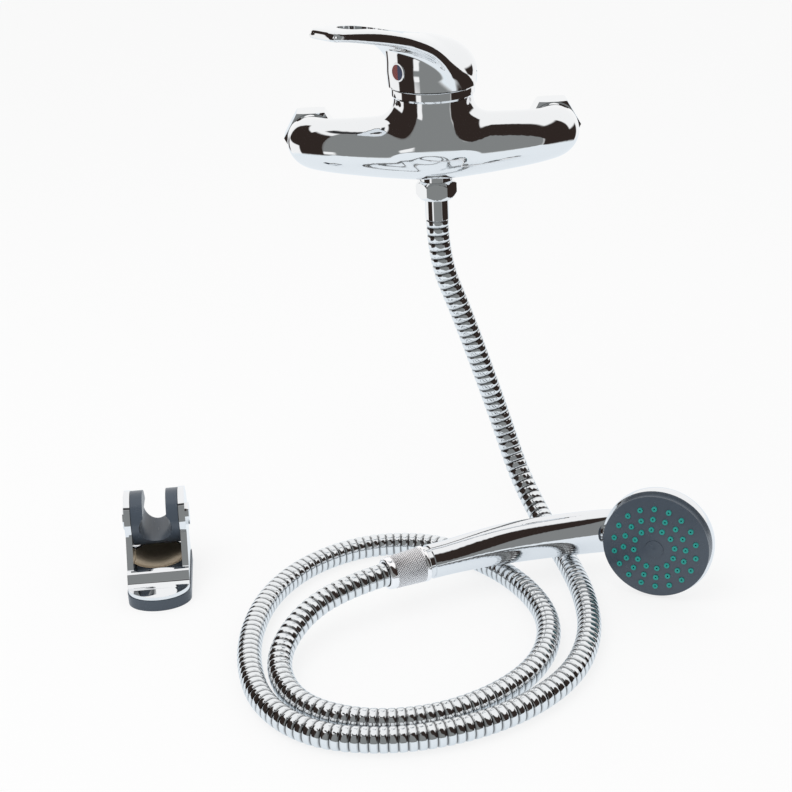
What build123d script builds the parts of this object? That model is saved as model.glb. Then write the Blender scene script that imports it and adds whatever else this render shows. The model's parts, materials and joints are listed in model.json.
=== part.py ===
# Wall-mounted single-lever shower mixer with its hose, handset and wall bracket.
# Frame: +X to the right, +Y to the wall, +Z up. The origin lies midway between the two
# wall inlets, on the wall-side plane of their union nuts. All sizes are in millimetres.
from build123d import *
import os
from math import asin, cos, degrees, hypot, pi, radians, sin, sqrt, tan

os.makedirs("parts", exist_ok=True)

# Clearances
FIT_GAP = 0.05          # radial play of a shaft, pin or guided sleeve
THREAD_GAP = 0.1        # radial play between a nipple and the nut that turns on it
FREE_GAP = 0.3          # play between pieces that move past each other

# Wall inlets
INLET_SPACING = 150.0
INLET_THREAD_R = 12.06
INLET_THREAD_LENGTH = 7.2
INLET_RELIEF_R = 11.9   # bore behind the thread, round the washer and the flange
UNION_NUT_FLATS = 30.0
UNION_NUT_LENGTH = 17.0
UNION_NUT_LIP = 4.5
UNION_BODY_GAP = 0.4
INLET_FLANGE_T = 2.5
INLET_SLEEVE_WALL = 2.2
INLET_SLEEVE_R = 10.2
INLET_SLEEVE_DEPTH = 16.6
INLET_WASHER_T = 2.5
INLET_WASHER_BORE = 8.4

# Mixer body
BODY_Y = -48.0          # distance of the cartridge axis from the wall plane, along Y
BARREL_R = 20.5
BOSS_R = 23.6
BOSS_TOP = 30.5
BELLY_Z = -20.5
CHAMBER_R = 17.6
CHAMBER_FLOOR = -4.0
CHANNEL_R = 3.6
CHANNEL_Z = -8.8
CHANNEL_Y = -41.0
PORT_R = 3.2
PORT_X = 9.0
PORT_Y = 5.0            # hot and cold ports, from the cartridge axis to the wall
OUTLET_PORT_Y = -7.0    # outlet port, from the cartridge axis
ELBOW_R = 6.5
ELBOW_X = 73.0
BODY_FILLET = 9.0
BODY_EDGE_LOW = 5.0     # the joining edges of barrel and boss lie between these levels
BODY_EDGE_HIGH = 24.0

# Half-inch hose thread, used at the outlet and at the handset
HOSE_THREAD_R = 9.6
OUTLET_NIPPLE_END = -27.0
OUTLET_BORE_R = 7.0
OUTLET_BORE_TOP = -14.2

# Cartridge
BASE_R = 17.2
BASE_BOTTOM = -3.7
BASE_TOP = 3.4
SEAL_R = 4.6
SEAL_T = 1.3
HOUSING_BORE = 13.3
HOUSING_TOP = 24.8
HOUSING_LIP_T = 3.0
FIXED_DISC_R = 13.0
FIXED_DISC_T = 3.5
MOVING_DISC_R = 10.4
MOVING_DISC_T = 3.5
DISC_OFFSET = -2.4
CARRIER_PLATE_T = 2.6
CARRIER_SOCKET_R = 5.8
CARRIER_TOP = 18.0
TURRET_R = 13.0
TURRET_NECK_R = 11.0
TURRET_TOP = 36.0
TURRET_SLOT_W = 7.8
PIVOT_Z = 29.0
PIVOT_PIN_R = 1.5
STEM_SIDE = 7.0
STEM_TOP = 56.0
STEM_SHANK_R = 3.4
STEM_BALL_R = 3.0
STEM_BALL_DROP = 13.0
SOCKET_GAP = 0.35
LIFT_LIMIT = 22.0
RETAINER_TOP = 30.5
RETAINER_BORE = 11.8
COVER_RING_R = 24.9
COVER_RING_TOP = 36.8
COVER_RING_EDGE = 1.0
COVER_RING_BORE = 12.0

# Lever, along its own arm direction s, with w across and z up
LEVER_AZIMUTH = -140.0
SKIRT_BOTTOM = 37.5
SKIRT_R = 26.4
SKIRT_TOP_R = 27.6
SKIRT_BORE = 25.0
DOME_R = 27.6
DOME_Z = 45.0
DOME_TOP = 65.0
DOME_WALL = 4.2
LEVER_SOCKET_R = 7.5
LEVER_SOCKET_BOTTOM = 42.0
# Arm sections: place along the arm, underside, widest level, top, half width
ARM_SECTIONS = [
    (-14.0, 45.0, 48.0, 58.5, 20.0),
    (0.0, 46.0, 50.0, 66.2, 26.0),
    (10.0, 51.5, 55.0, 69.2, 27.2),
    (20.0, 59.2, 62.2, 72.6, 25.8),
    (30.0, 65.0, 67.8, 75.6, 23.8),
    (40.0, 69.8, 72.2, 78.6, 21.2),
    (54.0, 74.6, 76.6, 81.8, 17.7),
    (72.0, 76.0, 77.8, 82.4, 14.2),
    (82.0, 76.2, 77.9, 81.8, 10.8),
    (88.0, 77.2, 78.2, 80.2, 5.0),
]
SLOT_START = 33.0
SLOT_END = 68.0
SLOT_W = 12.6
INDICATOR_Z = 48.5
INDICATOR_R = 5.5
INDICATOR_RIM = 0.9
INDICATOR_SEAT = 24.9
INDICATOR_FACE = 27.2
INDICATOR_PAD_R = 7.2
INDICATOR_PAD_BACK = 22.6
KEY_HOLE_R = 3.0
LEVER_SCREW_R = 2.5
LEVER_SCREW_LENGTH = 6.0

# Hose
HOSE_R = 7.0
HOSE_GROOVE_R = 6.45
HOSE_BORE_R = 5.6
LINER_R = 5.2
LINER_BORE_R = 4.0
RIB_COUNT = 200
RIB_CHAMFER = 0.55
RIB_GROOVE = 0.9
HOSE_NUT_FLATS = 23.0
HOSE_NUT_TOP = -21.2
HOSE_NUT_BOTTOM = -33.0
HOSE_NUT_LIP = 2.7
HOSE_WASHER_T = 2.0
HOSE_WASHER_BORE = 6.0
TAIL_FLANGE_T = 1.0
TAIL_HUB_R = 7.1
TAIL_HUB_END = -33.5
FERRULE_END = -46.0
TAIL_BARB_R = 3.9
TAIL_BORE_R = 3.0
BARB_LENGTH = 12.0
FERRULE_R = 7.2
FERRULE_BORE = 5.35

# Handset: head centre, direction from the head to the hose end, and spray direction
HEAD_CENTRE = (118.5, -162.1, -219.4)
HANDSET_U = (-0.9241, 0.3729, -0.0834)
HANDSET_N = (-0.3791, -0.9221, 0.0776)
HANDLE_START = (30.0, -20.5)
HANDLE_START_ANGLE = 18.4
HANDLE_RADIUS = 232.0
HANDLE_TURN = 29.0
# Handle sections: share of the arc, half width across, half thickness
HANDLE_SECTIONS = [
    (0.0, 13.4, 9.5),
    (0.21, 13.3, 10.8),
    (0.43, 12.9, 11.2),
    (0.68, 11.8, 11.0),
    (1.0, 10.4, 10.4),
]
# The handle's root inside the head: place, heading, half width, half thickness
HANDLE_ROOT = (8.0, -20.0, 6.0, 12.0, 5.5)
HANDLE_BORE_R = 6.0
HEAD_INLET_R = 4.5
HEAD_INLET = [(33.0, -19.6), (14.0, -17.2)]
NECK_R = 9.6
NECK_LENGTH = 3.1
NUT_GAP = 0.4
CONE_NUT_LENGTH = 26.0
CONE_NUT_R = 10.9
CONE_NUT_SMALL_R = 9.3
CONE_NUT_LIP_AT = 12.8
CONE_WASHER_T = 2.0
CONE_WASHER_BORE = 5.0
CONE_FLANGE_R = 9.3
CONE_FLANGE_T = 1.7
CONE_HUB_R = 7.0
HOSE_IN_NUT = 6.0
HEAD_RIM_R = 33.4
HEAD_RIM_Z = -5.0
HEAD_BACK_Z = -27.5
HEAD_WALL = 2.2
PLATE_R = 31.8
PLATE_T = 2.2
PLATE_RISE = 3.7
PLATE_SKIRT_T = 2.2
MAT_R = 28.5
MAT_T = 1.6
BACKING_R = 29.0
BACKING_BACK_Z = -8.0
SEAL_SEAT_Z = -9.5
SEAL_RING_R = 28.6
SEAL_RING_W = 1.8
NOZZLE_R = 1.6
NOZZLE_BORE_R = 0.5
NOZZLE_PROUD = 0.8
# Nozzle rings: count, ring radius, first nozzle's angle
NOZZLE_RINGS = [(12, 12.33, 5.0), (16, 18.6, 0.0), (18, 24.75, 8.0)]
CAP_R = 5.4
CAP_DEPTH = 1.6
SCREW_HEAD_R = 3.6
SCREW_HEAD_T = 2.4
SCREW_R = 1.95
SCREW_TIP_Z = -16.0
CENTRE_BOSS_R = 7.0
CENTRE_BOSS_Z = -3.0

# Wall bracket, lying on its back: centre under the fork's axis, turned about Z
BRACKET_AT = (-184.7, -98.6, -253.0)
BRACKET_TURN = 4.8
PLATE_W = 38.6
PLATE_THICK = 7.0
PLATE_NEAR = -53.5
PLATE_FAR = 13.5
PLATE_NEAR_SAG = 14.0
PLATE_FAR_R = 8.0
WALL_SCREW_R = 2.5
WALL_SCREW_NEAR = -30.0
WALL_SCREW_FAR = 4.0
COVER_INSET = 0.5
FORK_AXIS_Z = 37.0
FORK_R = 17.1
FORK_HALF_W = 14.6
ARM_INNER = 14.9
EAR_R = 17.5
POCKET_FLOOR = 10.0     # lowest point of the bowl below the fork
POCKET_R = 25.9
POCKET_Y = -12.8
RIDGE_Y = -34.0
RIDGE_TOP = 17.2
FORK_BORE_NEAR_R = 10.2
FORK_BORE_FAR_R = 8.8
FORK_SLOT_W = 14.5
FORK_PIN_R = 3.0
FORK_PIN_IN_FORK = 3.2
ORING_R = 5.2
ORING_T = 1.2
PIVOT_CAP_R = 7.0
PIVOT_CAP_T = 1.8
COVER_SCREW_Y = -18.0
COVER_SCREW_R = 1.6
COVER_SCREW_HEAD_R = 3.2
COVER_SCREW_HEAD_T = 2.4

# Hose route: the inner points along the middle of the hose. Its first two points lie below
# the ferrule and its last two on the axis of the handset's nut.
HOSE_ROUTE = [
    (13, -48, -108), (25, -48, -146), (36.5, -48, -184),
    (47, -61, -219), (61, -92, -241.5), (71, -131.5, -246), (76, -172.5, -246),
    (74, -212.5, -246), (60, -250.5, -246), (32, -280, -246), (-4, -298, -246),
    (-43.5, -304.5, -246), (-83.5, -296, -246), (-111, -267, -246), (-121.5, -227, -246),
    (-121.5, -187, -246), (-111.5, -147.5, -246), (-88.5, -114.5, -246),
    (-52.5, -94.5, -246), (-13, -97, -246), (21, -124, -246), (43.5, -159.5, -246),
    (53, -198.5, -246), (43.5, -238.5, -246), (17, -268.5, -246), (-20, -286.5, -246),
    (-60, -286.5, -246), (-94, -266.5, -246), (-106.5, -227.5, -243.5),
    (-90, -193, -233.5),
]
HOSE_END_RUN = 26.0     # straight runs of the route at its two ends


def ring(outer, inner, low, high):
    """A plain ring about Z from low to high."""
    body = Cylinder(outer, high - low, align=(Align.CENTER, Align.CENTER, Align.MIN))
    hole = Cylinder(inner, high - low + 2, align=(Align.CENTER, Align.CENTER, Align.MIN))
    return Pos(0, 0, low) * body - Pos(0, 0, low - 1) * hole


def rod(radius, low, high):
    """A plain cylinder about Z from low to high."""
    low, high = min(low, high), max(low, high)
    body = Cylinder(radius, high - low, align=(Align.CENTER, Align.CENTER, Align.MIN))
    return Pos(0, 0, low) * body


def cone(r_low, r_high, low, high):
    """A cone frustum about Z."""
    body = Cone(r_low, r_high, high - low, align=(Align.CENTER, Align.CENTER, Align.MIN))
    return Pos(0, 0, low) * body


def hexagon(flats, low, high, turn, chamfer_r):
    """A hexagonal bar about Z with its corners turned off at both ends."""
    prism = extrude(Rot(0, 0, turn) * RegularPolygon(flats / 2, 6, major_radius=False), high - low)
    corner = flats / sqrt(3)
    drop = (corner - chamfer_r) * tan(radians(30))
    profile = Polyline(
        (0, low), (chamfer_r, low), (corner, low + drop), (corner, high - drop),
        (chamfer_r, high), (0, high), close=True)
    turned = revolve(Plane.XZ * make_face(profile), Axis.Z)
    return (Pos(0, 0, low) * prism) & turned


def solids_only(shape):
    """The solids of a shape as one compound, or the one solid."""
    found = shape.solids()
    return found[0] if len(found) == 1 else Compound(children=list(found))


def save(name, shape):
    """Write one sub-part."""
    export_step(solids_only(shape), f"parts/{name}.step")


# Frames of the moving and leaning groups
TO_AXIS = Pos(0, BODY_Y, 0)
LEVER_FRAME = Pos(0, BODY_Y, 0) * Rot(0, 0, LEVER_AZIMUTH)
# Frame of an inlet: local +Z points away from the wall, into the room
INLET_FRAMES = {
    "left": Pos(-INLET_SPACING / 2, 0, 0) * Rot(90, 0, 0),
    "right": Pos(INLET_SPACING / 2, 0, 0) * Rot(90, 0, 0),
}
HANDSET = Plane(origin=HEAD_CENTRE, x_dir=HANDSET_U, z_dir=HANDSET_N)
BRACKET = Pos(*BRACKET_AT) * Rot(0, 0, BRACKET_TURN)


# Union nuts, tails and washers at the wall

def inlet_pieces():
    """Nut, flanged sleeve and washer, in the inlet's own frame."""
    flange_r = INLET_RELIEF_R - FREE_GAP
    shoulder = UNION_NUT_LENGTH - UNION_NUT_LIP
    nut = hexagon(UNION_NUT_FLATS, 0, UNION_NUT_LENGTH, 0, UNION_NUT_FLATS / 2 + 0.2)
    nut -= rod(INLET_THREAD_R, -1, INLET_THREAD_LENGTH)
    nut -= rod(INLET_RELIEF_R, 0, shoulder)
    nut -= rod(INLET_SLEEVE_R + FREE_GAP, 0, UNION_NUT_LENGTH + 1)
    flange_top = shoulder - FREE_GAP
    flange_bottom = flange_top - INLET_FLANGE_T
    body_end = UNION_NUT_LENGTH + UNION_BODY_GAP
    tail = rod(flange_r, flange_bottom, flange_top)
    tail += rod(INLET_SLEEVE_R, flange_bottom, body_end + INLET_SLEEVE_DEPTH)
    tail -= rod(INLET_SLEEVE_R - INLET_SLEEVE_WALL, flange_bottom - 1, body_end + INLET_SLEEVE_DEPTH + 1)
    washer = ring(flange_r, INLET_WASHER_BORE, flange_bottom - INLET_WASHER_T, flange_bottom)
    return nut, tail, washer


# Mixer body

def barrel_half(side):
    """Half of the barrel: a loft of circles that bends back to the wall inlet."""
    end_y = -(UNION_NUT_LENGTH + UNION_BODY_GAP)
    end_x = INLET_SPACING / 2
    stations = [
        (0.0, BODY_Y, BARREL_R, 0.0),
        (22.0, BODY_Y, BARREL_R - 0.5, 0.0),
        (42.0, BODY_Y + 1.3, BARREL_R - 1.9, 8.0),
        (58.0, BODY_Y + 5.0, BARREL_R - 3.4, 21.0),
        (end_x - 5.3, BODY_Y + 11.7, BARREL_R - 4.5, 44.0),
        (end_x - 0.3, BODY_Y + 20.5, BARREL_R - 5.3, 76.0),
        (end_x, end_y, BARREL_R - 5.9, 90.0),
    ]
    faces = []
    for x, y, r, angle in stations:
        a = radians(angle)
        plane = Plane(origin=(side * x, y, 0), x_dir=(0, 0, 1), z_dir=(side * cos(a), sin(a), 0))
        faces.append(plane * Circle(r))
    return loft(faces)


def boss():
    """The upright boss that holds the cartridge, narrowing down into the barrel."""
    profile = [
        (BOSS_TOP, BOSS_R), (20.0, BOSS_R), (8.0, BOSS_R - 0.8), (-6.0, BOSS_R - 3.4), (-14.0, BOSS_R - 8.8)]
    return loft([Pos(0, 0, z) * Circle(r) for z, r in profile])


def mixer_body():
    shape = barrel_half(1) + barrel_half(-1)
    shape += TO_AXIS * boss()
    joins = [e for e in shape.edges() if BODY_EDGE_LOW < e.center().Z < BODY_EDGE_HIGH
             and abs(e.center().X) > 5 and e.length > 15]
    shape = fillet(joins, BODY_FILLET)
    shape += TO_AXIS * rod(HOSE_THREAD_R, BELLY_Z + 4, OUTLET_NIPPLE_END)
    shape -= TO_AXIS * rod(CHAMBER_R, CHAMBER_FLOOR, BOSS_TOP + 1)
    shape -= TO_AXIS * rod(OUTLET_BORE_R, OUTLET_NIPPLE_END - 1, OUTLET_BORE_TOP)
    shape -= TO_AXIS * Pos(0, OUTLET_PORT_Y, 0) * rod(PORT_R, OUTLET_BORE_TOP - 2, CHAMBER_FLOOR + 1)
    end_y = UNION_NUT_LENGTH + UNION_BODY_GAP
    for side, frame in ((-1, INLET_FRAMES["left"]), (1, INLET_FRAMES["right"])):
        shape -= frame * rod(INLET_SLEEVE_R + FIT_GAP, end_y - 1, end_y + INLET_SLEEVE_DEPTH)
        elbow = Pos(side * ELBOW_X, 0, 0) * Rot(90, 0, 0)
        shape -= elbow * rod(ELBOW_R, end_y + INLET_SLEEVE_DEPTH - 1, -CHANNEL_Y + 2)
        channel = Pos(0, CHANNEL_Y, CHANNEL_Z) * Rot(0, 90 * side, 0)
        shape -= channel * rod(CHANNEL_R, PORT_X - 1, ELBOW_X + 1)
        port = Pos(side * PORT_X, BODY_Y + PORT_Y, 0)
        shape -= port * rod(PORT_R, CHANNEL_Z, CHAMBER_FLOOR + 1)
    return shape


# Cartridge pieces, about the cartridge axis

def port_places():
    """Places of the hot, cold and outlet ports about the cartridge axis."""
    return [(-PORT_X, PORT_Y), (PORT_X, PORT_Y), (0, OUTLET_PORT_Y)]


def cartridge_base():
    shape = rod(BASE_R, BASE_BOTTOM, BASE_TOP)
    for x, y in port_places():
        shape -= Pos(x, y, 0) * rod(PORT_R, BASE_BOTTOM - 1, BASE_TOP + 1)
        shape -= Pos(x, y, 0) * rod(SEAL_R + FIT_GAP, BASE_BOTTOM - 1, CHAMBER_FLOOR + SEAL_T)
    return shape


def cartridge_seals():
    rings = [Pos(x, y, 0) * ring(SEAL_R, PORT_R, CHAMBER_FLOOR, CHAMBER_FLOOR + SEAL_T)
             for x, y in port_places()]
    return Compound(children=[r.solid() for r in rings])


def ceramic_disc_fixed():
    shape = rod(FIXED_DISC_R, BASE_TOP, BASE_TOP + FIXED_DISC_T)
    for x, y in port_places():
        shape -= Pos(x, y, 0) * rod(PORT_R, BASE_TOP - 1, BASE_TOP + FIXED_DISC_T + 1)
    return shape


MOVING_DISC_Z = BASE_TOP + FIXED_DISC_T
CARRIER_Z = MOVING_DISC_Z + MOVING_DISC_T
BALL_Z = PIVOT_Z - STEM_BALL_DROP


def ceramic_disc_moving():
    shape = Pos(DISC_OFFSET, 0, 0) * rod(MOVING_DISC_R, MOVING_DISC_Z, CARRIER_Z)
    return shape - Pos(DISC_OFFSET, 0, 0) * rod(MOVING_DISC_R - 3.4, MOVING_DISC_Z - 1, MOVING_DISC_Z + 1.6)


def disc_carrier():
    shape = Pos(DISC_OFFSET, 0, 0) * rod(MOVING_DISC_R, CARRIER_Z, CARRIER_Z + CARRIER_PLATE_T)
    shape += rod(CARRIER_SOCKET_R, CARRIER_Z, CARRIER_TOP)
    return shape - rod(STEM_BALL_R + SOCKET_GAP, BALL_Z - STEM_BALL_R - FREE_GAP, CARRIER_TOP + 1)


def cartridge_turret():
    lip = HOUSING_TOP - HOUSING_LIP_T - FREE_GAP
    bottom = CARRIER_TOP + FREE_GAP
    shape = rod(TURRET_R, bottom, lip) + rod(TURRET_NECK_R, bottom, TURRET_TOP)
    swing = (TURRET_TOP - PIVOT_Z) * tan(radians(LIFT_LIMIT)) + STEM_SIDE / 2 / cos(radians(LIFT_LIMIT))
    front = STEM_SIDE / 2 + 2 * FREE_GAP
    above = Box(swing + front + FREE_GAP, TURRET_SLOT_W, TURRET_TOP + 1 - PIVOT_Z,
                align=(Align.MIN, Align.CENTER, Align.MIN))
    shape -= Pos(-swing - FREE_GAP, 0, PIVOT_Z) * above
    kick = (PIVOT_Z - bottom) * tan(radians(LIFT_LIMIT)) + STEM_SHANK_R / cos(radians(LIFT_LIMIT))
    below = Box(kick + front + FREE_GAP, TURRET_SLOT_W, PIVOT_Z + 2 - bottom + 1,
                align=(Align.MIN, Align.CENTER, Align.MIN))
    shape -= Pos(-front, 0, bottom - 1) * below
    return shape - Pos(0, 0, PIVOT_Z) * Rot(90, 0, 0) * rod(PIVOT_PIN_R + FIT_GAP, -TURRET_R, TURRET_R)


def stem_pin():
    return Pos(0, 0, PIVOT_Z) * Rot(90, 0, 0) * rod(PIVOT_PIN_R, 0.4 - TURRET_NECK_R, TURRET_NECK_R - 0.4)


def cartridge_stem():
    block = Box(STEM_SIDE, STEM_SIDE, STEM_TOP - PIVOT_Z + STEM_SHANK_R,
                align=(Align.CENTER, Align.CENTER, Align.MIN))
    shape = Pos(0, 0, PIVOT_Z - STEM_SHANK_R) * block
    shape += cone(2.0, STEM_SHANK_R, BALL_Z, PIVOT_Z - STEM_SHANK_R)
    shape += Pos(0, 0, BALL_Z) * Sphere(STEM_BALL_R)
    return shape - Pos(0, 0, PIVOT_Z) * Rot(90, 0, 0) * rod(PIVOT_PIN_R + FIT_GAP, -STEM_SIDE, STEM_SIDE)


def cartridge_housing():
    shape = ring(BASE_R, HOUSING_BORE, BASE_TOP, HOUSING_TOP)
    lip = HOUSING_TOP - HOUSING_LIP_T
    return shape + ring(HOUSING_BORE + 1, TURRET_NECK_R + FREE_GAP, lip, HOUSING_TOP)


def retaining_nut():
    shape = ring(CHAMBER_R - FIT_GAP, RETAINER_BORE, HOUSING_TOP, RETAINER_TOP)
    for turn in range(0, 360, 60):
        key = Box(4, 2.4, 2, align=(Align.CENTER, Align.CENTER, Align.MIN))
        shape -= Rot(0, 0, turn) * Pos(CHAMBER_R - 2.6, 0, RETAINER_TOP - 1.6) * key
    return shape


def cover_ring():
    """The chrome collar between the boss and the lever, with a rounded top edge."""
    edge = COVER_RING_EDGE
    with BuildSketch(Plane.XZ) as sketch:
        with BuildLine():
            Polyline((COVER_RING_R - edge, COVER_RING_TOP), (COVER_RING_BORE, COVER_RING_TOP),
                     (COVER_RING_BORE, BOSS_TOP), (BOSS_R + 0.2, BOSS_TOP),
                     (COVER_RING_R, BOSS_TOP + 1.4), (COVER_RING_R, COVER_RING_TOP - edge))
            JernArc((COVER_RING_R, COVER_RING_TOP - edge), (0, 1), edge, 90)
        make_face()
    return revolve(sketch.sketch, Axis.Z)


# Lever and what rides on it, with the arm along local +X

def arm_section(s, under, level, top, half):
    """One cross-section of the arm: two half ellipses that meet at its widest level."""
    frame = Plane(origin=(s, 0, level), x_dir=(0, 1, 0), z_dir=(1, 0, 0))
    with BuildSketch(frame) as sketch:
        with BuildLine():
            EllipticalCenterArc((0, 0), half, top - level, 0, arc_size=180)
            EllipticalCenterArc((0, 0), half, level - under, 180, arc_size=180)
        make_face()
    return sketch.sketch


def dome(radius, low_r, height, low):
    """A low dome about Z, with its seam at the back: a straight side, then a quarter ellipse."""
    with BuildSketch(Plane.XZ) as sketch:
        with BuildLine():
            Line((0, low), (low_r, low))
            Line((low_r, low), (radius, DOME_Z))
            EllipticalCenterArc((0, DOME_Z), radius, height, 0, arc_size=90)
            Line((0, DOME_Z + height), (0, low))
        make_face()
    return Rot(0, 0, 180) * revolve(sketch.sketch, Axis.Z)


def lever():
    arm = loft([arm_section(*row) for row in ARM_SECTIONS])
    hood = dome(DOME_R, DOME_R - 0.9, DOME_TOP - DOME_Z, SKIRT_BOTTOM)
    rise = degrees(asin(1.04 / hypot(1, 1.04)))
    under = Box(80, 80, 40, align=(Align.CENTER, Align.CENTER, Align.MAX))
    front_under = Pos(-2.5, 0, SKIRT_BOTTOM) * Rot(0, -rise, 0) * under
    ahead = Pos(-2.5, 0, 0) * Box(60, 80, 200, align=(Align.MIN, Align.CENTER, Align.CENTER))
    hood -= front_under & ahead
    skirt = Rot(0, 0, 180) * cone(SKIRT_R, SKIRT_TOP_R, SKIRT_BOTTOM, DOME_TOP)
    above = Box(120, 80, 60, align=(Align.CENTER, Align.CENTER, Align.MIN))
    skirt -= Pos(0, 0, DOME_Z + 2) * Rot(0, -36, 0) * above
    shape = arm + hood + skirt
    shape -= dome(SKIRT_BORE, SKIRT_BORE, DOME_TOP - DOME_Z - DOME_WALL, SKIRT_BOTTOM - 1)
    shape += rod(LEVER_SOCKET_R, LEVER_SOCKET_BOTTOM, DOME_TOP - DOME_WALL + 1)
    side = STEM_SIDE + 2 * FIT_GAP
    hole = Box(side, side, STEM_TOP + FREE_GAP - LEVER_SOCKET_BOTTOM + 1,
               align=(Align.CENTER, Align.CENTER, Align.MIN))
    shape -= Pos(0, 0, LEVER_SOCKET_BOTTOM - 1) * hole
    middle = (SLOT_START + SLOT_END) / 2
    shape -= Pos(middle, 0, 60) * extrude(SlotOverall(SLOT_END - SLOT_START, SLOT_W), 40)
    facing = Pos(0, 0, INDICATOR_Z) * Rot(0, 90, 0)
    shape += facing * rod(INDICATOR_PAD_R, INDICATOR_PAD_BACK, SKIRT_BORE + 1)
    shape -= facing * rod(INDICATOR_R + FIT_GAP, INDICATOR_SEAT, INDICATOR_FACE + 3)
    shape -= facing * rod(KEY_HOLE_R, INDICATOR_PAD_BACK - 1, INDICATOR_FACE)
    shape -= facing * rod(LEVER_SCREW_R + FIT_GAP, 0, LEVER_SOCKET_R + 1)
    return shape


def lever_screw():
    start = STEM_SIDE / 2 + FIT_GAP
    shape = rod(LEVER_SCREW_R, start, start + LEVER_SCREW_LENGTH)
    key = extrude(RegularPolygon(1.3, 6), 2.5)
    shape -= Pos(0, 0, start + LEVER_SCREW_LENGTH - 2) * key
    return Pos(0, 0, INDICATOR_Z) * Rot(0, 90, 0) * shape


def indicator_rim():
    shape = ring(INDICATOR_R, INDICATOR_R - INDICATOR_RIM, INDICATOR_SEAT + 0.6, INDICATOR_FACE)
    shape += rod(INDICATOR_R, INDICATOR_SEAT, INDICATOR_SEAT + 0.6)
    return Pos(0, 0, INDICATOR_Z) * Rot(0, 90, 0) * shape


def indicator_half(side):
    """Half of the round temperature mark: side +1 is to the right seen from the front."""
    disc = rod(INDICATOR_R - INDICATOR_RIM, INDICATOR_SEAT + 0.6, INDICATOR_FACE - 0.2)
    keep = Box(40, 40, 80, align=(Align.CENTER, Align.MIN if side > 0 else Align.MAX, Align.CENTER))
    return Pos(0, 0, INDICATOR_Z) * Rot(0, 90, 0) * (disc & keep)


# Hose fittings at the mixer

def hose_nut():
    shape = hexagon(HOSE_NUT_FLATS, HOSE_NUT_BOTTOM, HOSE_NUT_TOP, 0, HOSE_NUT_FLATS / 2 + 0.2)
    shape -= rod(HOSE_THREAD_R + THREAD_GAP, HOSE_NUT_BOTTOM + HOSE_NUT_LIP, HOSE_NUT_TOP + 1)
    return shape - rod(TAIL_HUB_R + FREE_GAP, HOSE_NUT_BOTTOM - 1, HOSE_NUT_TOP)


def hose_washer():
    low = OUTLET_NIPPLE_END - HOSE_WASHER_T
    return ring(HOSE_THREAD_R - FREE_GAP, HOSE_WASHER_BORE, low, OUTLET_NIPPLE_END)


def hose_tail():
    flange_top = OUTLET_NIPPLE_END - HOSE_WASHER_T
    shape = rod(HOSE_THREAD_R - FREE_GAP, flange_top - TAIL_FLANGE_T, flange_top)
    shape += rod(TAIL_HUB_R, TAIL_HUB_END, flange_top)
    shape += rod(TAIL_BARB_R, TAIL_HUB_END - BARB_LENGTH, flange_top)
    return shape - rod(TAIL_BORE_R, TAIL_HUB_END - BARB_LENGTH - 1, flange_top + 1)


def hose_ferrule():
    return ring(FERRULE_R, FERRULE_BORE, FERRULE_END, TAIL_HUB_END)


# Hose

def route_radii(points):
    """The arc at each inner point: 0.45 of the shorter run over the tangent of half the turn."""
    radii = []
    for before, here, after in zip(points, points[1:], points[2:]):
        run_in = Vector(*here) - Vector(*before)
        run_out = Vector(*after) - Vector(*here)
        turn = radians(run_in.get_angle(run_out))
        radii.append(0.45 * min(run_in.length, run_out.length) / tan(turn / 2))
    return radii


def whole_route():
    """Every point of the hose's route, from the ferrule to its seat in the handset's nut."""
    seat = NECK_LENGTH + NUT_GAP + CONE_NUT_LENGTH - HOSE_IN_NUT
    approach = (NUT_FRAME * Pos(0, 0, seat + HOSE_END_RUN)).position
    end = (NUT_FRAME * Pos(0, 0, seat)).position
    start = [(0, BODY_Y, FERRULE_END), (0, BODY_Y, FERRULE_END - HOSE_END_RUN)]
    return start + HOSE_ROUTE + [tuple(approach), tuple(end)]


def swept_rod(path, radius):
    start = Plane(origin=path @ 0, z_dir=path % 0)
    return sweep(start * Circle(radius), path=path)


def rib_stations(length):
    """Distances along the hose and radii: a plain end, the ribs, a plain end."""
    plain = 2 * HOSE_R
    pitch = (length - 2 * plain) / RIB_COUNT
    yield 0.0, HOSE_R
    yield plain - RIB_CHAMFER, HOSE_R
    for i in range(RIB_COUNT):
        low = plain + i * pitch
        yield low + RIB_GROOVE / 2, HOSE_GROOVE_R
        yield low + RIB_GROOVE / 2 + RIB_CHAMFER, HOSE_R
        yield low + pitch - RIB_GROOVE / 2 - RIB_CHAMFER, HOSE_R
        yield low + pitch - RIB_GROOVE / 2, HOSE_GROOVE_R
    yield length - plain + RIB_CHAMFER, HOSE_R
    yield length, HOSE_R


def hose_casing(path):
    """The ribbed metal casing: a ruled loft of circles on a steady X axis, with its bore."""
    sections = []
    steady = Vector(1, 0, 0)
    for distance, radius in rib_stations(path.length):
        at = path.position_at(distance, position_mode=PositionMode.LENGTH)
        along = path.tangent_at(distance, position_mode=PositionMode.LENGTH)
        steady = (steady - along * steady.dot(along)).normalized()
        sections.append(Plane(origin=at, x_dir=steady, z_dir=along) * Circle(radius))
    return loft(sections, ruled=True) - swept_rod(path, HOSE_BORE_R)


def least_self_gap(path, skip):
    """The least gap between stretches of the hose more than skip apart along it."""
    step = 4.0
    count = int(path.length / step)
    places = [path.position_at(i * step, position_mode=PositionMode.LENGTH) for i in range(count)]
    away = int(skip / step)
    spans = [(places[i] - places[j]).length for i in range(count) for j in range(i + away, count)]
    return min(spans) - 2 * HOSE_R


# Handset, in its own frame: local X to the hose end, local Z out of the spray face

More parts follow.
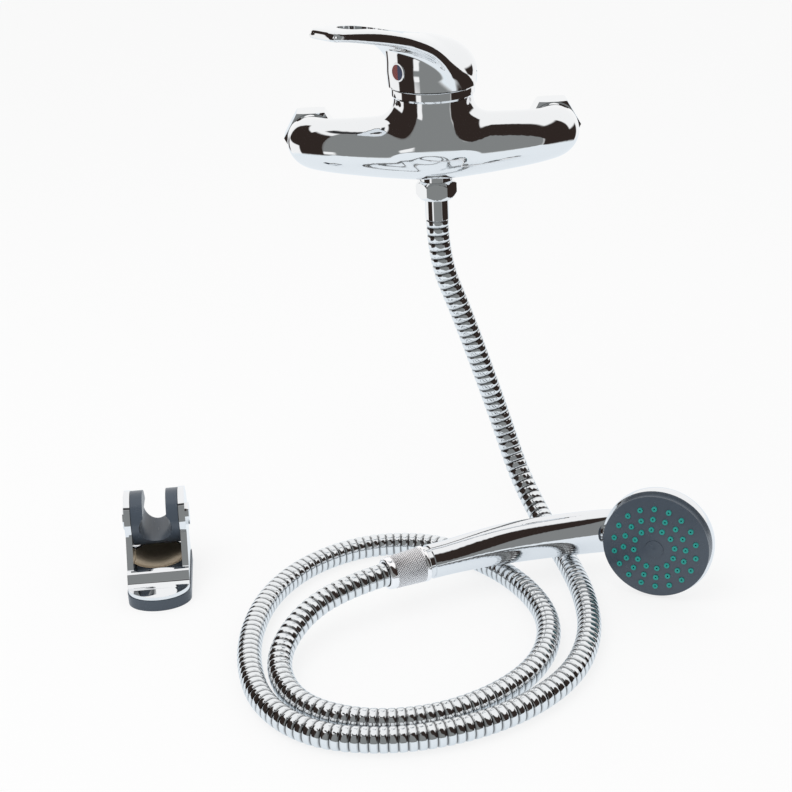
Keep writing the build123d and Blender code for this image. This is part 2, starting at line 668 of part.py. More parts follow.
def handle_point(share):
    """Place and heading, in the X-Z plane, at a share of the handle's arc."""
    start = radians(HANDLE_START_ANGLE)
    cx = HANDLE_START[0] - HANDLE_RADIUS * sin(start)
    cz = HANDLE_START[1] + HANDLE_RADIUS * cos(start)
    a = start + radians(HANDLE_TURN) * share
    return cx + HANDLE_RADIUS * sin(a), cz - HANDLE_RADIUS * cos(a), a


def handle_plane(share):
    x, z, a = handle_point(share)
    return Plane(origin=(x, 0, z), x_dir=(0, 1, 0), z_dir=(cos(a), 0, sin(a)))


def handle_arc():
    places = [handle_point(share) for share in (0.0, 0.5, 1.0)]
    return ThreePointArc(*[(x, 0, z) for x, z, a in places])


NUT_FRAME = HANDSET.location * handle_plane(1.0).location
FACE_SPHERE_R = (PLATE_R ** 2 + PLATE_RISE ** 2) / (2 * PLATE_RISE)
FACE_SPHERE_Z = PLATE_RISE - FACE_SPHERE_R


def face_ball(inset):
    """The ball whose cap is the spray face, less an inset."""
    return Pos(0, 0, FACE_SPHERE_Z) * Sphere(FACE_SPHERE_R - inset)


def head_profile(rim_r, back_z, front_z):
    """Solid of the head shell: a rim and a domed back."""
    with BuildSketch(Plane.XZ) as sketch:
        with BuildLine():
            Line((0, front_z), (rim_r, front_z))
            Line((rim_r, front_z), (rim_r, front_z - 3))
            Spline((rim_r, front_z - 3), (rim_r - 5.5, back_z + 7.0), (rim_r * 0.55, back_z + 1.6),
                   (0, back_z), tangents=((0, -1), (-1, 0)))
            Line((0, back_z), (0, front_z))
        make_face()
    return revolve(sketch.sketch, Axis.Z)


def handset_body():
    outer = head_profile(HEAD_RIM_R, HEAD_BACK_Z, HEAD_RIM_Z)
    root_x, root_z, heading, root_w, root_t = HANDLE_ROOT
    a = radians(heading)
    root_plane = Plane(origin=(root_x, 0, root_z), x_dir=(0, 1, 0), z_dir=(cos(a), 0, sin(a)))
    sections = [root_plane * Ellipse(root_w, root_t)]
    sections += [handle_plane(share) * Ellipse(half_w, half_t) for share, half_w, half_t in HANDLE_SECTIONS]
    handle = loft(sections)
    neck = handle_plane(1.0) * rod(NECK_R, -1, NECK_LENGTH)
    shape = outer + handle + neck
    arc = handle_arc()
    bore_path = Wire([arc.edge(), Line(arc @ 1, arc @ 1 + (arc % 1) * (NECK_LENGTH + 1)).edge()])
    shape -= sweep(handle_plane(0.0) * Circle(HANDLE_BORE_R), path=bore_path)
    (x0, z0), (x1, z1) = HEAD_INLET
    inlet = Plane(origin=(x0, 0, z0), z_dir=(x1 - x0, 0, z1 - z0))
    shape -= inlet * rod(HEAD_INLET_R, 0, hypot(x1 - x0, z1 - z0))
    inner = head_profile(BACKING_R - 2.5, HEAD_BACK_Z + HEAD_WALL, SEAL_SEAT_Z)
    shape -= inner
    shape -= rod(BACKING_R + FREE_GAP, SEAL_SEAT_Z, HEAD_RIM_Z + 1)
    shape += rod(4.5, HEAD_BACK_Z + HEAD_WALL - 1, BACKING_BACK_Z)
    return shape - rod(SCREW_R + FIT_GAP, SCREW_TIP_Z - 1, BACKING_BACK_Z + 1)


def handset_nipple():
    end = NECK_LENGTH + NUT_GAP + NIPPLE_IN_NUT
    shape = ring(HOSE_THREAD_R, HANDLE_BORE_R - 1, NECK_LENGTH, end)
    return shape + ring(HANDLE_BORE_R - FIT_GAP, HANDLE_BORE_R - 1, NECK_LENGTH - 8, NECK_LENGTH)


NIPPLE_IN_NUT = CONE_NUT_LIP_AT - FREE_GAP - CONE_FLANGE_T - CONE_WASHER_T


def flow_restrictor():
    low = NECK_LENGTH - 2
    return ring(HANDLE_BORE_R - 1 - FIT_GAP, 2.0, low, low + 3)


def nozzle_places():
    for count, ring_r, first in NOZZLE_RINGS:
        for i in range(count):
            a = radians(first + 360 * i / count)
            yield ring_r * cos(a), ring_r * sin(a), ring_r


def spray_plate():
    shape = rod(PLATE_R, HEAD_RIM_Z, PLATE_RISE + 1) & face_ball(0)
    hollow = rod(PLATE_R - PLATE_SKIRT_T, HEAD_RIM_Z - 1, PLATE_RISE) & face_ball(PLATE_T)
    shape -= hollow
    shape += rod(CENTRE_BOSS_R, CENTRE_BOSS_Z, PLATE_RISE - PLATE_T + 0.4)
    shape -= rod(CAP_R + FIT_GAP, PLATE_RISE - CAP_DEPTH, PLATE_RISE + 1)
    head_z = PLATE_RISE - CAP_DEPTH - 0.2
    shape -= rod(SCREW_HEAD_R + FIT_GAP, head_z - SCREW_HEAD_T, PLATE_RISE)
    shape -= rod(SCREW_R + FIT_GAP, CENTRE_BOSS_Z - 1, PLATE_RISE)
    for x, y, ring_r in nozzle_places():
        shape -= Pos(x, y, 0) * rod(NOZZLE_R + FIT_GAP, HEAD_RIM_Z, PLATE_RISE + 1)
    return shape


def nozzle_mat():
    shape = ring(MAT_R, CENTRE_BOSS_R + FREE_GAP, HEAD_RIM_Z, PLATE_RISE) & face_ball(PLATE_T)
    shape -= face_ball(PLATE_T + MAT_T)
    pegs = []
    for x, y, ring_r in nozzle_places():
        top = FACE_SPHERE_Z + sqrt(FACE_SPHERE_R ** 2 - ring_r ** 2)
        pegs.append(Pos(x, y, 0) * rod(NOZZLE_R, top - PLATE_T - 0.6, top + NOZZLE_PROUD))
    shape += pegs
    holes = [Pos(x, y, 0) * rod(NOZZLE_BORE_R, -8, PLATE_RISE + 2) for x, y, ring_r in nozzle_places()]
    return shape - holes


def spray_backing():
    shape = rod(BACKING_R, BACKING_BACK_Z, PLATE_RISE) & face_ball(PLATE_T + MAT_T)
    shape -= rod(CENTRE_BOSS_R + FREE_GAP, CENTRE_BOSS_Z, PLATE_RISE)
    shape -= rod(SCREW_R + FIT_GAP, BACKING_BACK_Z - 1, PLATE_RISE)
    for count, ring_r, first in NOZZLE_RINGS:
        top = FACE_SPHERE_Z + sqrt((FACE_SPHERE_R - PLATE_T - MAT_T) ** 2 - ring_r ** 2)
        shape -= ring(ring_r + 1.0, ring_r - 1.0, top - 1.6, top + 1)
        for i in range(6):
            feed = Rot(0, 0, first + 60 * i) * Pos(ring_r, 0, 0) * rod(0.9, BACKING_BACK_Z - 1, top)
            shape -= feed
    return shape


def head_seal():
    return ring(SEAL_RING_R, SEAL_RING_R - SEAL_RING_W, SEAL_SEAT_Z, BACKING_BACK_Z)


def face_screw():
    head_z = PLATE_RISE - CAP_DEPTH - 0.2
    shape = rod(SCREW_HEAD_R, head_z - SCREW_HEAD_T, head_z)
    shape += rod(SCREW_R, SCREW_TIP_Z, head_z - SCREW_HEAD_T + 0.5)
    for turn in (0, 90):
        shape -= Pos(0, 0, head_z) * Rot(0, 0, turn) * Box(4, 0.9, 2.4)
    return shape


def centre_cap():
    return rod(CAP_R, PLATE_RISE - CAP_DEPTH, PLATE_RISE + 0.6) & face_ball(-0.4)


def cone_nut():
    """The tapered nut, with a knurled band of shallow straight grooves."""
    shape = cone(CONE_NUT_R, CONE_NUT_SMALL_R, 0, CONE_NUT_LENGTH)
    shape -= rod(HOSE_THREAD_R + THREAD_GAP, -1, CONE_NUT_LIP_AT)
    return shape - rod(HOSE_R + 0.4, 0, CONE_NUT_LENGTH + 1)


def cone_washer():
    return ring(CONE_FLANGE_R, CONE_WASHER_BORE, NIPPLE_IN_NUT, NIPPLE_IN_NUT + CONE_WASHER_T)


def cone_tail():
    low = NIPPLE_IN_NUT + CONE_WASHER_T
    hub_end = CONE_NUT_LENGTH - HOSE_IN_NUT
    shape = rod(CONE_FLANGE_R, low, low + CONE_FLANGE_T) + rod(CONE_HUB_R, low, hub_end)
    shape += rod(TAIL_BARB_R, low, hub_end + BARB_LENGTH)
    return shape - rod(TAIL_BORE_R, low - 1, hub_end + BARB_LENGTH + 1)


# Wall bracket, in its own frame: X across, Y away from the near end, Z up from the plate's back

def plate_outline(inset):
    """Outline of the back plate: an elliptic near end and rounded far corners."""
    half = PLATE_W / 2 - inset
    far = PLATE_FAR - inset
    shoulder = PLATE_NEAR + PLATE_NEAR_SAG
    r = PLATE_FAR_R - inset
    with BuildSketch() as sketch:
        with BuildLine():
            EllipticalCenterArc((0, shoulder), half, PLATE_NEAR_SAG - inset, 180, arc_size=180)
            Line((half, shoulder), (half, far - r))
            JernArc((half, far - r), (0, 1), r, 90)
            Line((half - r, far), (-half + r, far))
            JernArc((-half + r, far), (-1, 0), r, 90)
            Line((-half, far - r), (-half, shoulder))
        make_face()
    return sketch.sketch


def bracket_plate():
    shape = extrude(plate_outline(0), PLATE_THICK)
    for y in (WALL_SCREW_NEAR, WALL_SCREW_FAR):
        shape -= Pos(0, y, 0) * rod(WALL_SCREW_R, -1, PLATE_THICK + 1)
    shape -= Pos(0, COVER_SCREW_Y, 0) * rod(COVER_SCREW_R + FIT_GAP, -1, PLATE_THICK + 1)
    return shape - Pos(0, COVER_SCREW_Y, 0) * rod(COVER_SCREW_HEAD_R + FIT_GAP, -1, COVER_SCREW_HEAD_T + 0.2)


def cover_side():
    """Side view of the cover: low dish near the front, ridge, lip and round ears."""
    with BuildSketch(Plane.YZ) as sketch:
        with BuildLine():
            Polyline((PLATE_NEAR, PLATE_THICK), (PLATE_NEAR, 9.0), (-50, 9.8), (RIDGE_Y - 7.0, 10.2),
                     (RIDGE_Y - 4.4, 12.2), (RIDGE_Y - 1.6, 16.0), (RIDGE_Y, RIDGE_TOP),
                     (PLATE_FAR, RIDGE_TOP), (PLATE_FAR, PLATE_THICK), close=True)
        make_face()
    return sketch.sketch


def ear_side():
    """Side view of an ear: a round end on a foot that widens down to the base."""
    foot = Polyline((RIDGE_Y + 3, PLATE_THICK), (RIDGE_Y + 3, RIDGE_TOP), (-EAR_R + 0.6, FORK_AXIS_Z - 4),
                    (0, FORK_AXIS_Z), (EAR_R - 3.2, FORK_AXIS_Z - 10), (PLATE_FAR, 20),
                    (PLATE_FAR, PLATE_THICK), close=True)
    return Plane.YZ * (make_face(foot) + Pos(0, FORK_AXIS_Z) * Circle(EAR_R))


def bracket_cover():
    half = PLATE_W / 2 - COVER_INSET
    outline = extrude(plate_outline(COVER_INSET), FORK_AXIS_Z + EAR_R + 1)
    blank = extrude(cover_side(), half, both=True)
    blank += extrude(ear_side(), half, both=True)
    far_room = Pos(0, 0, FORK_AXIS_Z) * Rot(0, 90, 0) * rod(EAR_R, -half, half)
    shape = blank & (outline + far_room)
    shape -= Pos(0, 0, FORK_AXIS_Z) * Rot(0, 90, 0) * rod(FORK_R + 1.2, -ARM_INNER, ARM_INNER)
    gap = Box(2 * ARM_INNER, 80, 60, align=(Align.CENTER, Align.MIN, Align.MIN))
    shape -= Pos(0, PLATE_NEAR, RIDGE_TOP) * gap
    shape -= (Pos(0, POCKET_Y, POCKET_FLOOR + POCKET_R) * Sphere(POCKET_R)) & Box(2 * ARM_INNER, 200, 200)
    for side in (-1, 1):
        pin_hole = Pos(0, 0, FORK_AXIS_Z) * Rot(0, 90, 0) * rod(FORK_PIN_R + FIT_GAP, side * 10, side * 30)
        shape -= pin_hole
    screw = Pos(0, COVER_SCREW_Y, 0) * rod(COVER_SCREW_R + FIT_GAP, 0, POCKET_FLOOR - 0.6)
    return shape - screw


def bracket_fork():
    shape = Rot(0, 90, 0) * rod(FORK_R, -FORK_HALF_W, FORK_HALF_W)
    bore = Rot(-90, 0, 0) * cone(FORK_BORE_NEAR_R, FORK_BORE_FAR_R, -FORK_R, FORK_R)
    shape -= bore
    slot = Box(FORK_SLOT_W, 3 * FORK_R, FORK_R + 1, align=(Align.CENTER, Align.CENTER, Align.MIN))
    shape -= slot
    for side in (-1, 1):
        shape -= Rot(0, 90, 0) * rod(FORK_PIN_R + FIT_GAP, side * (FORK_HALF_W - FORK_PIN_IN_FORK), side * 20)
        shape -= Rot(0, 90, 0) * rod(ORING_R + FIT_GAP, side * (FORK_HALF_W - ORING_T), side * 20)
    return Pos(0, 0, FORK_AXIS_Z) * shape


def fork_pieces():
    """Pins, sealing rings and end caps at both sides of the fork."""
    outer = PLATE_W / 2 - COVER_INSET
    pins, rings, caps = [], [], []
    for side in (-1, 1):
        turn = Pos(0, 0, FORK_AXIS_Z) * Rot(0, 90 * side, 0)
        pins.append((turn * rod(FORK_PIN_R, FORK_HALF_W - FORK_PIN_IN_FORK, outer)).solid())
        rings.append((turn * ring(ORING_R, FORK_PIN_R + FIT_GAP, FORK_HALF_W - ORING_T, FORK_HALF_W)).solid())
        caps.append((turn * rod(PIVOT_CAP_R, outer, outer + PIVOT_CAP_T)).solid())
    return pins, rings, caps


def cover_screw():
    shape = rod(COVER_SCREW_HEAD_R, 0.2, COVER_SCREW_HEAD_T + 0.2)
    return Pos(0, COVER_SCREW_Y, 0) * (shape + rod(COVER_SCREW_R, 0.2, POCKET_FLOOR - 0.8))


# Write every sub-part

for place, frame in INLET_FRAMES.items():
    nut, tail, washer = inlet_pieces()
    save(f"inlet_nut_{place}", frame * nut)
    save(f"inlet_tail_{place}", frame * tail)
    save(f"inlet_washer_{place}", frame * washer)

save("mixer_body", mixer_body())
for name, shape in {
        "cartridge_base": cartridge_base(), "cartridge_seals": cartridge_seals(),
        "ceramic_disc_fixed": ceramic_disc_fixed(), "cartridge_housing": cartridge_housing(),
        "retaining_nut": retaining_nut(), "cover_ring": cover_ring(), "hose_nut": hose_nut(),
        "hose_washer": hose_washer(), "hose_tail": hose_tail(), "hose_ferrule": hose_ferrule()}.items():
    save(name, TO_AXIS * shape)

for name, shape in {
        "ceramic_disc_moving": ceramic_disc_moving(), "disc_carrier": disc_carrier(),
        "cartridge_turret": cartridge_turret(), "stem_pin": stem_pin(), "cartridge_stem": cartridge_stem(),
        "lever": lever(), "lever_screw": lever_screw(), "indicator_rim": indicator_rim(),
        "indicator_red": indicator_half(-1), "indicator_blue": indicator_half(1)}.items():
    save(name, LEVER_FRAME * shape)

points = whole_route()
radii = route_radii(points)
route = FilletPolyline(*points, radius=radii)
print("route ends", [tuple(round(c, 2) for c in p) for p in points[-2:]])
print("hose length", round(route.length, 1), "arc radii", [round(r) for r in radii])
plain_volume = swept_rod(route, HOSE_R).volume
print("tube volume over section times length", round(plain_volume / (pi * HOSE_R ** 2 * route.length), 4))
print("least self gap", round(least_self_gap(route, 60), 2))
save("hose_casing", hose_casing(route))
liner_path = FilletPolyline((0, BODY_Y, TAIL_HUB_END), *points[1:], radius=radii)
save("hose_liner", swept_rod(liner_path, LINER_R) - swept_rod(liner_path, LINER_BORE_R))

for name, shape in {
        "handset_body": handset_body(), "spray_plate": spray_plate(), "nozzle_mat": nozzle_mat(),
        "spray_backing": spray_backing(), "head_seal": head_seal(), "face_screw": face_screw(),
        "centre_cap": centre_cap()}.items():
    save(name, HANDSET * shape)
for name, shape in {
        "handset_nipple": handset_nipple(), "flow_restrictor": flow_restrictor()}.items():
    save(name, NUT_FRAME * shape)
for name, shape in {
        "cone_nut": cone_nut(), "cone_washer": cone_washer(), "cone_tail": cone_tail()}.items():
    save(name, NUT_FRAME * Pos(0, 0, NECK_LENGTH + NUT_GAP) * shape)

pins, rings, caps = fork_pieces()
for name, shape in {
        "bracket_plate": bracket_plate(), "bracket_cover": bracket_cover(), "bracket_fork": bracket_fork(),
        "cover_screw": cover_screw(), "fork_pins": Compound(children=pins),
        "fork_o_rings": Compound(children=rings), "pivot_caps": Compound(children=caps)}.items():
    save(name, BRACKET * shape)
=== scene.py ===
import json
import math

import bmesh
import bpy
import numpy as np
from bpy.props import FloatProperty, FloatVectorProperty, IntProperty, PointerProperty
from mathutils import Matrix, Vector


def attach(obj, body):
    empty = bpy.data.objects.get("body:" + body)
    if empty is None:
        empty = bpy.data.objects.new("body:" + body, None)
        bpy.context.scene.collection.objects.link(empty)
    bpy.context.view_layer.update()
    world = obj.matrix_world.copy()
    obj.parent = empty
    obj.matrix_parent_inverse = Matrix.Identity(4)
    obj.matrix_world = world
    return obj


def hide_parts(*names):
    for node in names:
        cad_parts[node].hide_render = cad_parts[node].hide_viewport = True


bl_info = {
    "name": "Shower mixer set",
    "version": (1, 0, 0),
    "blender": (4, 5, 0),
    "location": "View3D > Sidebar > Shower mixer",
    "description": "Dresses the shower mixer, its ribbed hose, handset and wall bracket",
    "category": "Add Mesh",
}

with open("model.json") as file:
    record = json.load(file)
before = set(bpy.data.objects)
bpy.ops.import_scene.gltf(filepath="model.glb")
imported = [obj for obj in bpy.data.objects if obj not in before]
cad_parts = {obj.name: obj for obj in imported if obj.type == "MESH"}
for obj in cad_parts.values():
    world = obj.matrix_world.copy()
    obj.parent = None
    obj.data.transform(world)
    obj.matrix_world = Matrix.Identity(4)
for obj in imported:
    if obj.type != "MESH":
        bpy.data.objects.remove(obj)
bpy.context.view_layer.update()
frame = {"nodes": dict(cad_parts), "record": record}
NODES = frame["nodes"]
UP = Vector((0, 0, 1))

# The hose's route, from its ferrule to its seat in the handset's nut, in metres
HOSE_ROUTE = [
    (0, -.048, -.046), (0, -.048, -.072), (.013, -.048, -.108), (.025, -.048, -.146),
    (.0365, -.048, -.184), (.047, -.061, -.219), (.061, -.092, -.2415), (.071, -.1315, -.246),
    (.076, -.1725, -.246), (.074, -.2125, -.246), (.060, -.2505, -.246), (.032, -.280, -.246),
    (-.004, -.298, -.246), (-.0435, -.3045, -.246), (-.0835, -.296, -.246), (-.111, -.267, -.246),
    (-.1215, -.227, -.246), (-.1215, -.187, -.246), (-.1115, -.1475, -.246), (-.0885, -.1145, -.246),
    (-.0525, -.0945, -.246), (-.013, -.097, -.246), (.021, -.124, -.246), (.0435, -.1595, -.246),
    (.053, -.1985, -.246), (.0435, -.2385, -.246), (.017, -.2685, -.246), (-.020, -.2865, -.246),
    (-.060, -.2865, -.246), (-.094, -.2665, -.246), (-.1065, -.2275, -.2435), (-.090, -.193, -.2335),
    (-.06029, -.17493, -.2267), (-.03677, -.16384, -.22672),
]
HOSE_DIAMETER, HOSE_RIBS, HOSE_GROOVE = 0.014, 260, 0.0006

# The knurled nut, in metres: its seat on the handle, its way, and where it starts from the seat
NUT_BASE = Vector((-.015517, -.153823, -.226731))
NUT_WAY = Vector((-.904564, -.426342, .000669))
NUT_START = 0.0035
# Its section, in mm: (radius, height) up the outside with its two rims, then down the bore
NUT_OUTSIDE = [(9.75, 0.0), (10.3, 0.05), (10.75, 0.35), (10.88, 0.9), (10.86, 1.8), (10.6, 2.3),
               (10.38, 2.55), (10.5, 2.8), (10.6, 3.1), (9.75, 21.2), (9.55, 21.5), (9.38, 21.8),
               (9.5, 22.1), (9.56, 22.6), (9.42, 24.6), (9.2, 25.5), (8.8, 25.9), (8.2, 26.0)]
NUT_BORE = [(7.5, 25.9), (7.4, 25.4), (7.4, 13.0), (9.7, 12.8)]

# The cast body, in mm: its line from the middle to an inlet, with the radius at each place
BODY_LINE = [(-25, -47.4, -.2, 18.8), (0, -48, -.5, 20.3), (25, -47.4, -.2, 18.8), (50, -45.0, .6, 16.9),
             (64, -41.0, 1.0, 15.9), (72.3, -33.4, .8, 15.6), (75, -24.5, .3, 14.8), (75, -14, 0, 14.6),
             (75, -4, 0, 14.6)]
BOSS_AXIS_Y = -48.0
BOSS_R, BOSS_TOP = 23.7, 30.5
CHAMBER_R, CHAMBER_DEPTH = 17.6, 34.5
INLET_X, INLET_END_Y, SLEEVE_R, SLEEVE_DEPTH = 75.0, -17.4, 10.25, 16.6
NIPPLE_R, NIPPLE_LOW, NIPPLE_TOP = 9.6, -27.0, -18.0
# Below this height the boss narrows, with the cube of the way down
TAPER_FROM, TAPER = 12.0, 0.00078
# The fillet between barrel and boss: its reach at the belly, what it gains further up, and where
FILLET_LEAST, FILLET_GAIN, FILLET_LOW, FILLET_HIGH = 3.0, 9.0, -18.0, 2.0
# The boss before it settles: lower and upper radius, lower and upper end
BOSS_ROUGH = (18.0, BOSS_R, -8.0, 34.0)
BODY_STEPS, BODY_SIDES, BODY_VOXEL = 16, 40, 1.1

# The hexagon nut under the mixer, in mm: flats, lower and upper end, chamfer's end radius and slope
OUTLET_FLATS, OUTLET_LOW, OUTLET_TOP, OUTLET_END_R, OUTLET_SLOPE = 21.6, -32.8, -21.4, 10.0, 0.9
OUTLET_BORE_R, OUTLET_HOLE_R, OUTLET_FLOOR = 9.75, 7.4, 2.7
OUTLET_SIDES, OUTLET_LEVELS, OUTLET_SHARP = 144, 40, 20

# The lever, in mm: place along its arm, half width, lowest edge, belt, crown, squareness of the crown
LEVER_ROWS = [(-34, 12.0, 24.0, 43, 50.0, 2.0), (-24, 14.0, 24.0, 43, 52.0, 2.0),
              (-14, 18.5, 24.0, 44, 58.0, 2.0), (0, 25.0, 33.0, 47, 66.0, 2.0),
              (10, 26.6, 45.4, 54, 68.6, 2.1), (20, 25.8, 57.4, 62.0, 70.8, 2.4),
              (30, 23.8, 63.3, 67.8, 73.1, 2.8), (40, 21.2, 66.9, 72.0, 75.8, 3.2),
              (54, 17.7, 70.4, 75.6, 78.9, 3.6), (72, 14.2, 74.6, 78.4, 81.0, 3.6),
              (84, 11.0, 76.1, 79.2, 81.8, 3.6), (96, 8.0, 77.0, 80.0, 82.0, 3.6)]
LEVER_PLACE = Matrix.Translation((0, BOSS_AXIS_Y, 0)) @ Matrix.Rotation(math.radians(-140), 4, "Z")
# Where the arm's nose and its end under the hood start to close, and over what length
NOSE_FROM, NOSE_REACH, TAIL_FROM, TAIL_REACH = 75.0, 6.6, -8.0, 16.0
# The squareness of the arm's underside, at two places along it
UNDER_PLACES, UNDER_POWERS = (5, 30), (5.0, 7.0)
HOOD_R, HOOD_Z, HOOD_RISE, HOOD_TAPER = 26.2, 45.0, 19.5, 0.12
SKIRT_BOTTOM, SKIRT_R, SKIRT_FLARE = 37.5, 26.4, 0.0436
# The slope that ends the skirt under the arm: its height on the axis, and its lean
SLOPE_Z, SLOPE_LEAN = 47.0, math.radians(36)
HOOD_BLEND, SKIRT_BLEND = 5.0, 2.6
# Before settling: the arm's start, end and squareness along it and below, and the skirt's two cones
ARM_START, ARM_END, ARM_ROUND, ARM_BELOW = -22.0, 81.0, 2.8, 3.5
SKIRT_ROUGH, FRONT_ROUGH = (26.0, 26.8, 32.0, 54.0), (26.2, 27.4, 32.0, 66.0)
LEVER_STEPS, LEVER_RINGS, LEVER_SIDES, LEVER_VOXEL, LEVER_PASSES = 12, 64, 48, 0.75, 4
# The hollow from below, in steps of (radius, depth): the skirt's inside, then the socket on the stem
LEVER_HOLLOW = [(25, 0), (25, 7.5), (23.1, 13.5), (17.7, 18.7), (12, 21.4), (7.5, 22.6), (7.5, 4.5),
                (5.05, 4.5), (5.05, 18.8)]
# The thumb slot: radius, the middles of its round ends, lowest height and height of the cut
SLOT_R, SLOT_NEAR, SLOT_FAR, SLOT_LOW, SLOT_TALL = 7.5, 40.5, 60.5, 58.0, 34.0
# The round mark's seat and the grub screw's hole: (radius, start, end) along the arm, at one height
MARK_HOLES, MARK_Z = ((5.6, 15, 34), (2.6, 2, 14)), 48.5

# The hollow under the bracket's fork, in metres: centre, radius and height of its upper edge, which place the
# painted warm reflection in the cover's material
BOWL_CENTRE, BOWL_R, BOWL_TOP = (-0.18363, -0.11136, -0.2171), 0.0262, -0.2363
# Its cover: faces flatter than one angle are joined, and edges sharper than the other are eased
FLAT_ANGLE, EDGE_ANGLE, EDGE_WIDTH = math.radians(1.5), math.radians(38), 0.0009
COVER_WELD, COVER_SHARP = 2e-6, math.radians(45)

# The stage, in metres, and the camera's angles
FLOOR_Z, FLOOR_HALF = -0.253, 4.0
PAPER_LEFT, PAPER_RIGHT, PAPER_FRONT, PAPER_LEAN, PAPER_SOFT = -0.43, 0.495, -0.525, 0.06, 0.01
# The floor's white for the camera, the real floor's share where metal sees the paper, the room's light
FLOOR_WHITE, PAPER_CLEAR, ROOM_LIGHT = 0.8, 0.25, 0.8
WHITE, PAPER_TONE = (1, 1, 1, 1), (0.86, 0.93, 0.99, 1)
LAMP_PLACE, LAMP_WAY, LAMP_SIZE = Vector((-0.5, -0.5, 1.1)), Vector((-0.45, -0.35, 1.1)), (1.2, 0.9)
CAMERA_PLACE, CAMERA_LENS = (-0.0307, -0.989, 0.2523), 72.64
CAMERA_PITCH, CAMERA_ROLL = math.radians(23.87), math.radians(2.80)

# What bright metal mirrors: (azimuth, elevation, colour, softness of the sides and of the ends), in degrees
GREY_WALL, DARK_ROOM, DARK_EDGE = (0.24, 0.25, 0.25), (0.032, 0.023, 0.020), (0.03, 0.03, 0.032)
MIRRORED = [
    ((-200, 200), (-95, -26), (0.86, 0.93, 0.98), 2.0, 3.0),
    ((-35, 47), (-26, 62), GREY_WALL, 2.0, 3.0),
    ((-50, -30), (-10.5, 62), GREY_WALL, 2.0, 1.0),
    ((-50, -30), (-26, -20.5), GREY_WALL, 2.0, 1.0),
    ((-88, 33), (62, 71), DARK_EDGE, 6.0, 2.0),
    ((48, 102), (-26, 44), DARK_ROOM, 2.0, 3.0),
    ((98, 130), (-26, 4), DARK_ROOM, 2.5, 3.0),
    ((-98, -49), (-26, 52), DARK_ROOM, 2.0, 3.0),
    ((-142, -94), (-4, 45), DARK_ROOM, 2.5, 1.5),
    ((-156, -143), (-20, -6), DARK_ROOM, 2.0, 3.0),
]
# A dark area at the right with a slanting edge: its slope and ramp, and its reaches with their softness
SLANT, SLANT_FROM, SLANT_TO, SLANT_SIDE, SLANT_LEVEL = 1.45, 66, 70, (0, 62, 5.0), (-20, 78, 3.0)


# Nodes and materials

def join(tree, value, socket):
    """Feed a socket from another socket or from a plain value."""
    if isinstance(value, bpy.types.NodeSocket):
        tree.links.new(value, socket)
    else:
        socket.default_value = value


def feed(tree, node, **values):
    """Feed a node's inputs by name, and give its outputs."""
    for label, value in values.items():
        join(tree, value, node.inputs[label.replace("_", " ")])
    return node.outputs


def math_node(tree, operation, *values):
    """One Math node, with its result."""
    node = tree.nodes.new("ShaderNodeMath")
    node.operation = operation
    for value, socket in zip(values, node.inputs):
        join(tree, value, socket)
    return node.outputs[0]


def product(tree, first, *others):
    """Values multiplied together."""
    for other in others:
        first = math_node(tree, "MULTIPLY", first, other)
    return first


def ramp_between(tree, value, low, high):
    """A smooth step from nought at low to one at high."""
    node = tree.nodes.new("ShaderNodeMapRange")
    node.interpolation_type = "SMOOTHSTEP"
    for v, socket in zip((value, low, high), node.inputs):
        join(tree, v, socket)
    return node.outputs["Result"]


def band(tree, value, low, high, soft):
    """One between low and high, nought outside, with soft edges."""
    return product(tree, ramp_between(tree, value, low - soft, low + soft),
                   ramp_between(tree, value, high + soft, high - soft))


def blend(tree, factor, first, second):
    """Mix two colours."""
    node = tree.nodes.new("ShaderNodeMix")
    node.data_type = "RGBA"
    return feed(tree, node, Factor=factor, A=first, B=second)["Result"]


def mix_shaders(tree, share, first, second):
    """Mix two shaders."""
    node = tree.nodes.new("ShaderNodeMixShader")
    for value, socket in zip((share, first, second), node.inputs):
        tree.links.new(value, socket)
    return node.outputs[0]


def glow(tree, kind, color, strength=1.0):
    """An Emission or Background shader."""
    return feed(tree, tree.nodes.new("ShaderNode" + kind), Color=color, Strength=strength)[0]


def split(tree, vector):
    """The X, Y and Z of a vector."""
    return feed(tree, tree.nodes.new("ShaderNodeSeparateXYZ"), Vector=vector)


def noise(tree, vector, scale, detail, rough=0.5, stretch=None):
    """Noise on a vector, stretched along an axis where asked."""
    if stretch:
        vector = feed(tree, tree.nodes.new("ShaderNodeMapping"), Scale=stretch, Vector=vector)["Vector"]
    node = tree.nodes.new("ShaderNodeTexNoise")
    return feed(tree, node, Vector=vector, Scale=scale, Detail=detail, Roughness=rough)["Fac"]


def add_inputs(tree, inputs):
    """Named inputs of a node tree, with their defaults."""
    for label, kind, default in inputs:
        item = tree.interface.new_socket(label, in_out="INPUT", socket_type="NodeSocket" + kind)
        if default is not None:
            item.default_value = default


def new_group(name, inputs, outputs):
    """A shader node group with named inputs and outputs."""
    group = bpy.data.node_groups.new(name, "ShaderNodeTree")
    add_inputs(group, inputs)
    for label, kind in outputs:
        group.interface.new_socket(label, in_out="OUTPUT", socket_type="NodeSocket" + kind)
    return group, group.nodes.new("NodeGroupInput").outputs, group.nodes.new("NodeGroupOutput").inputs


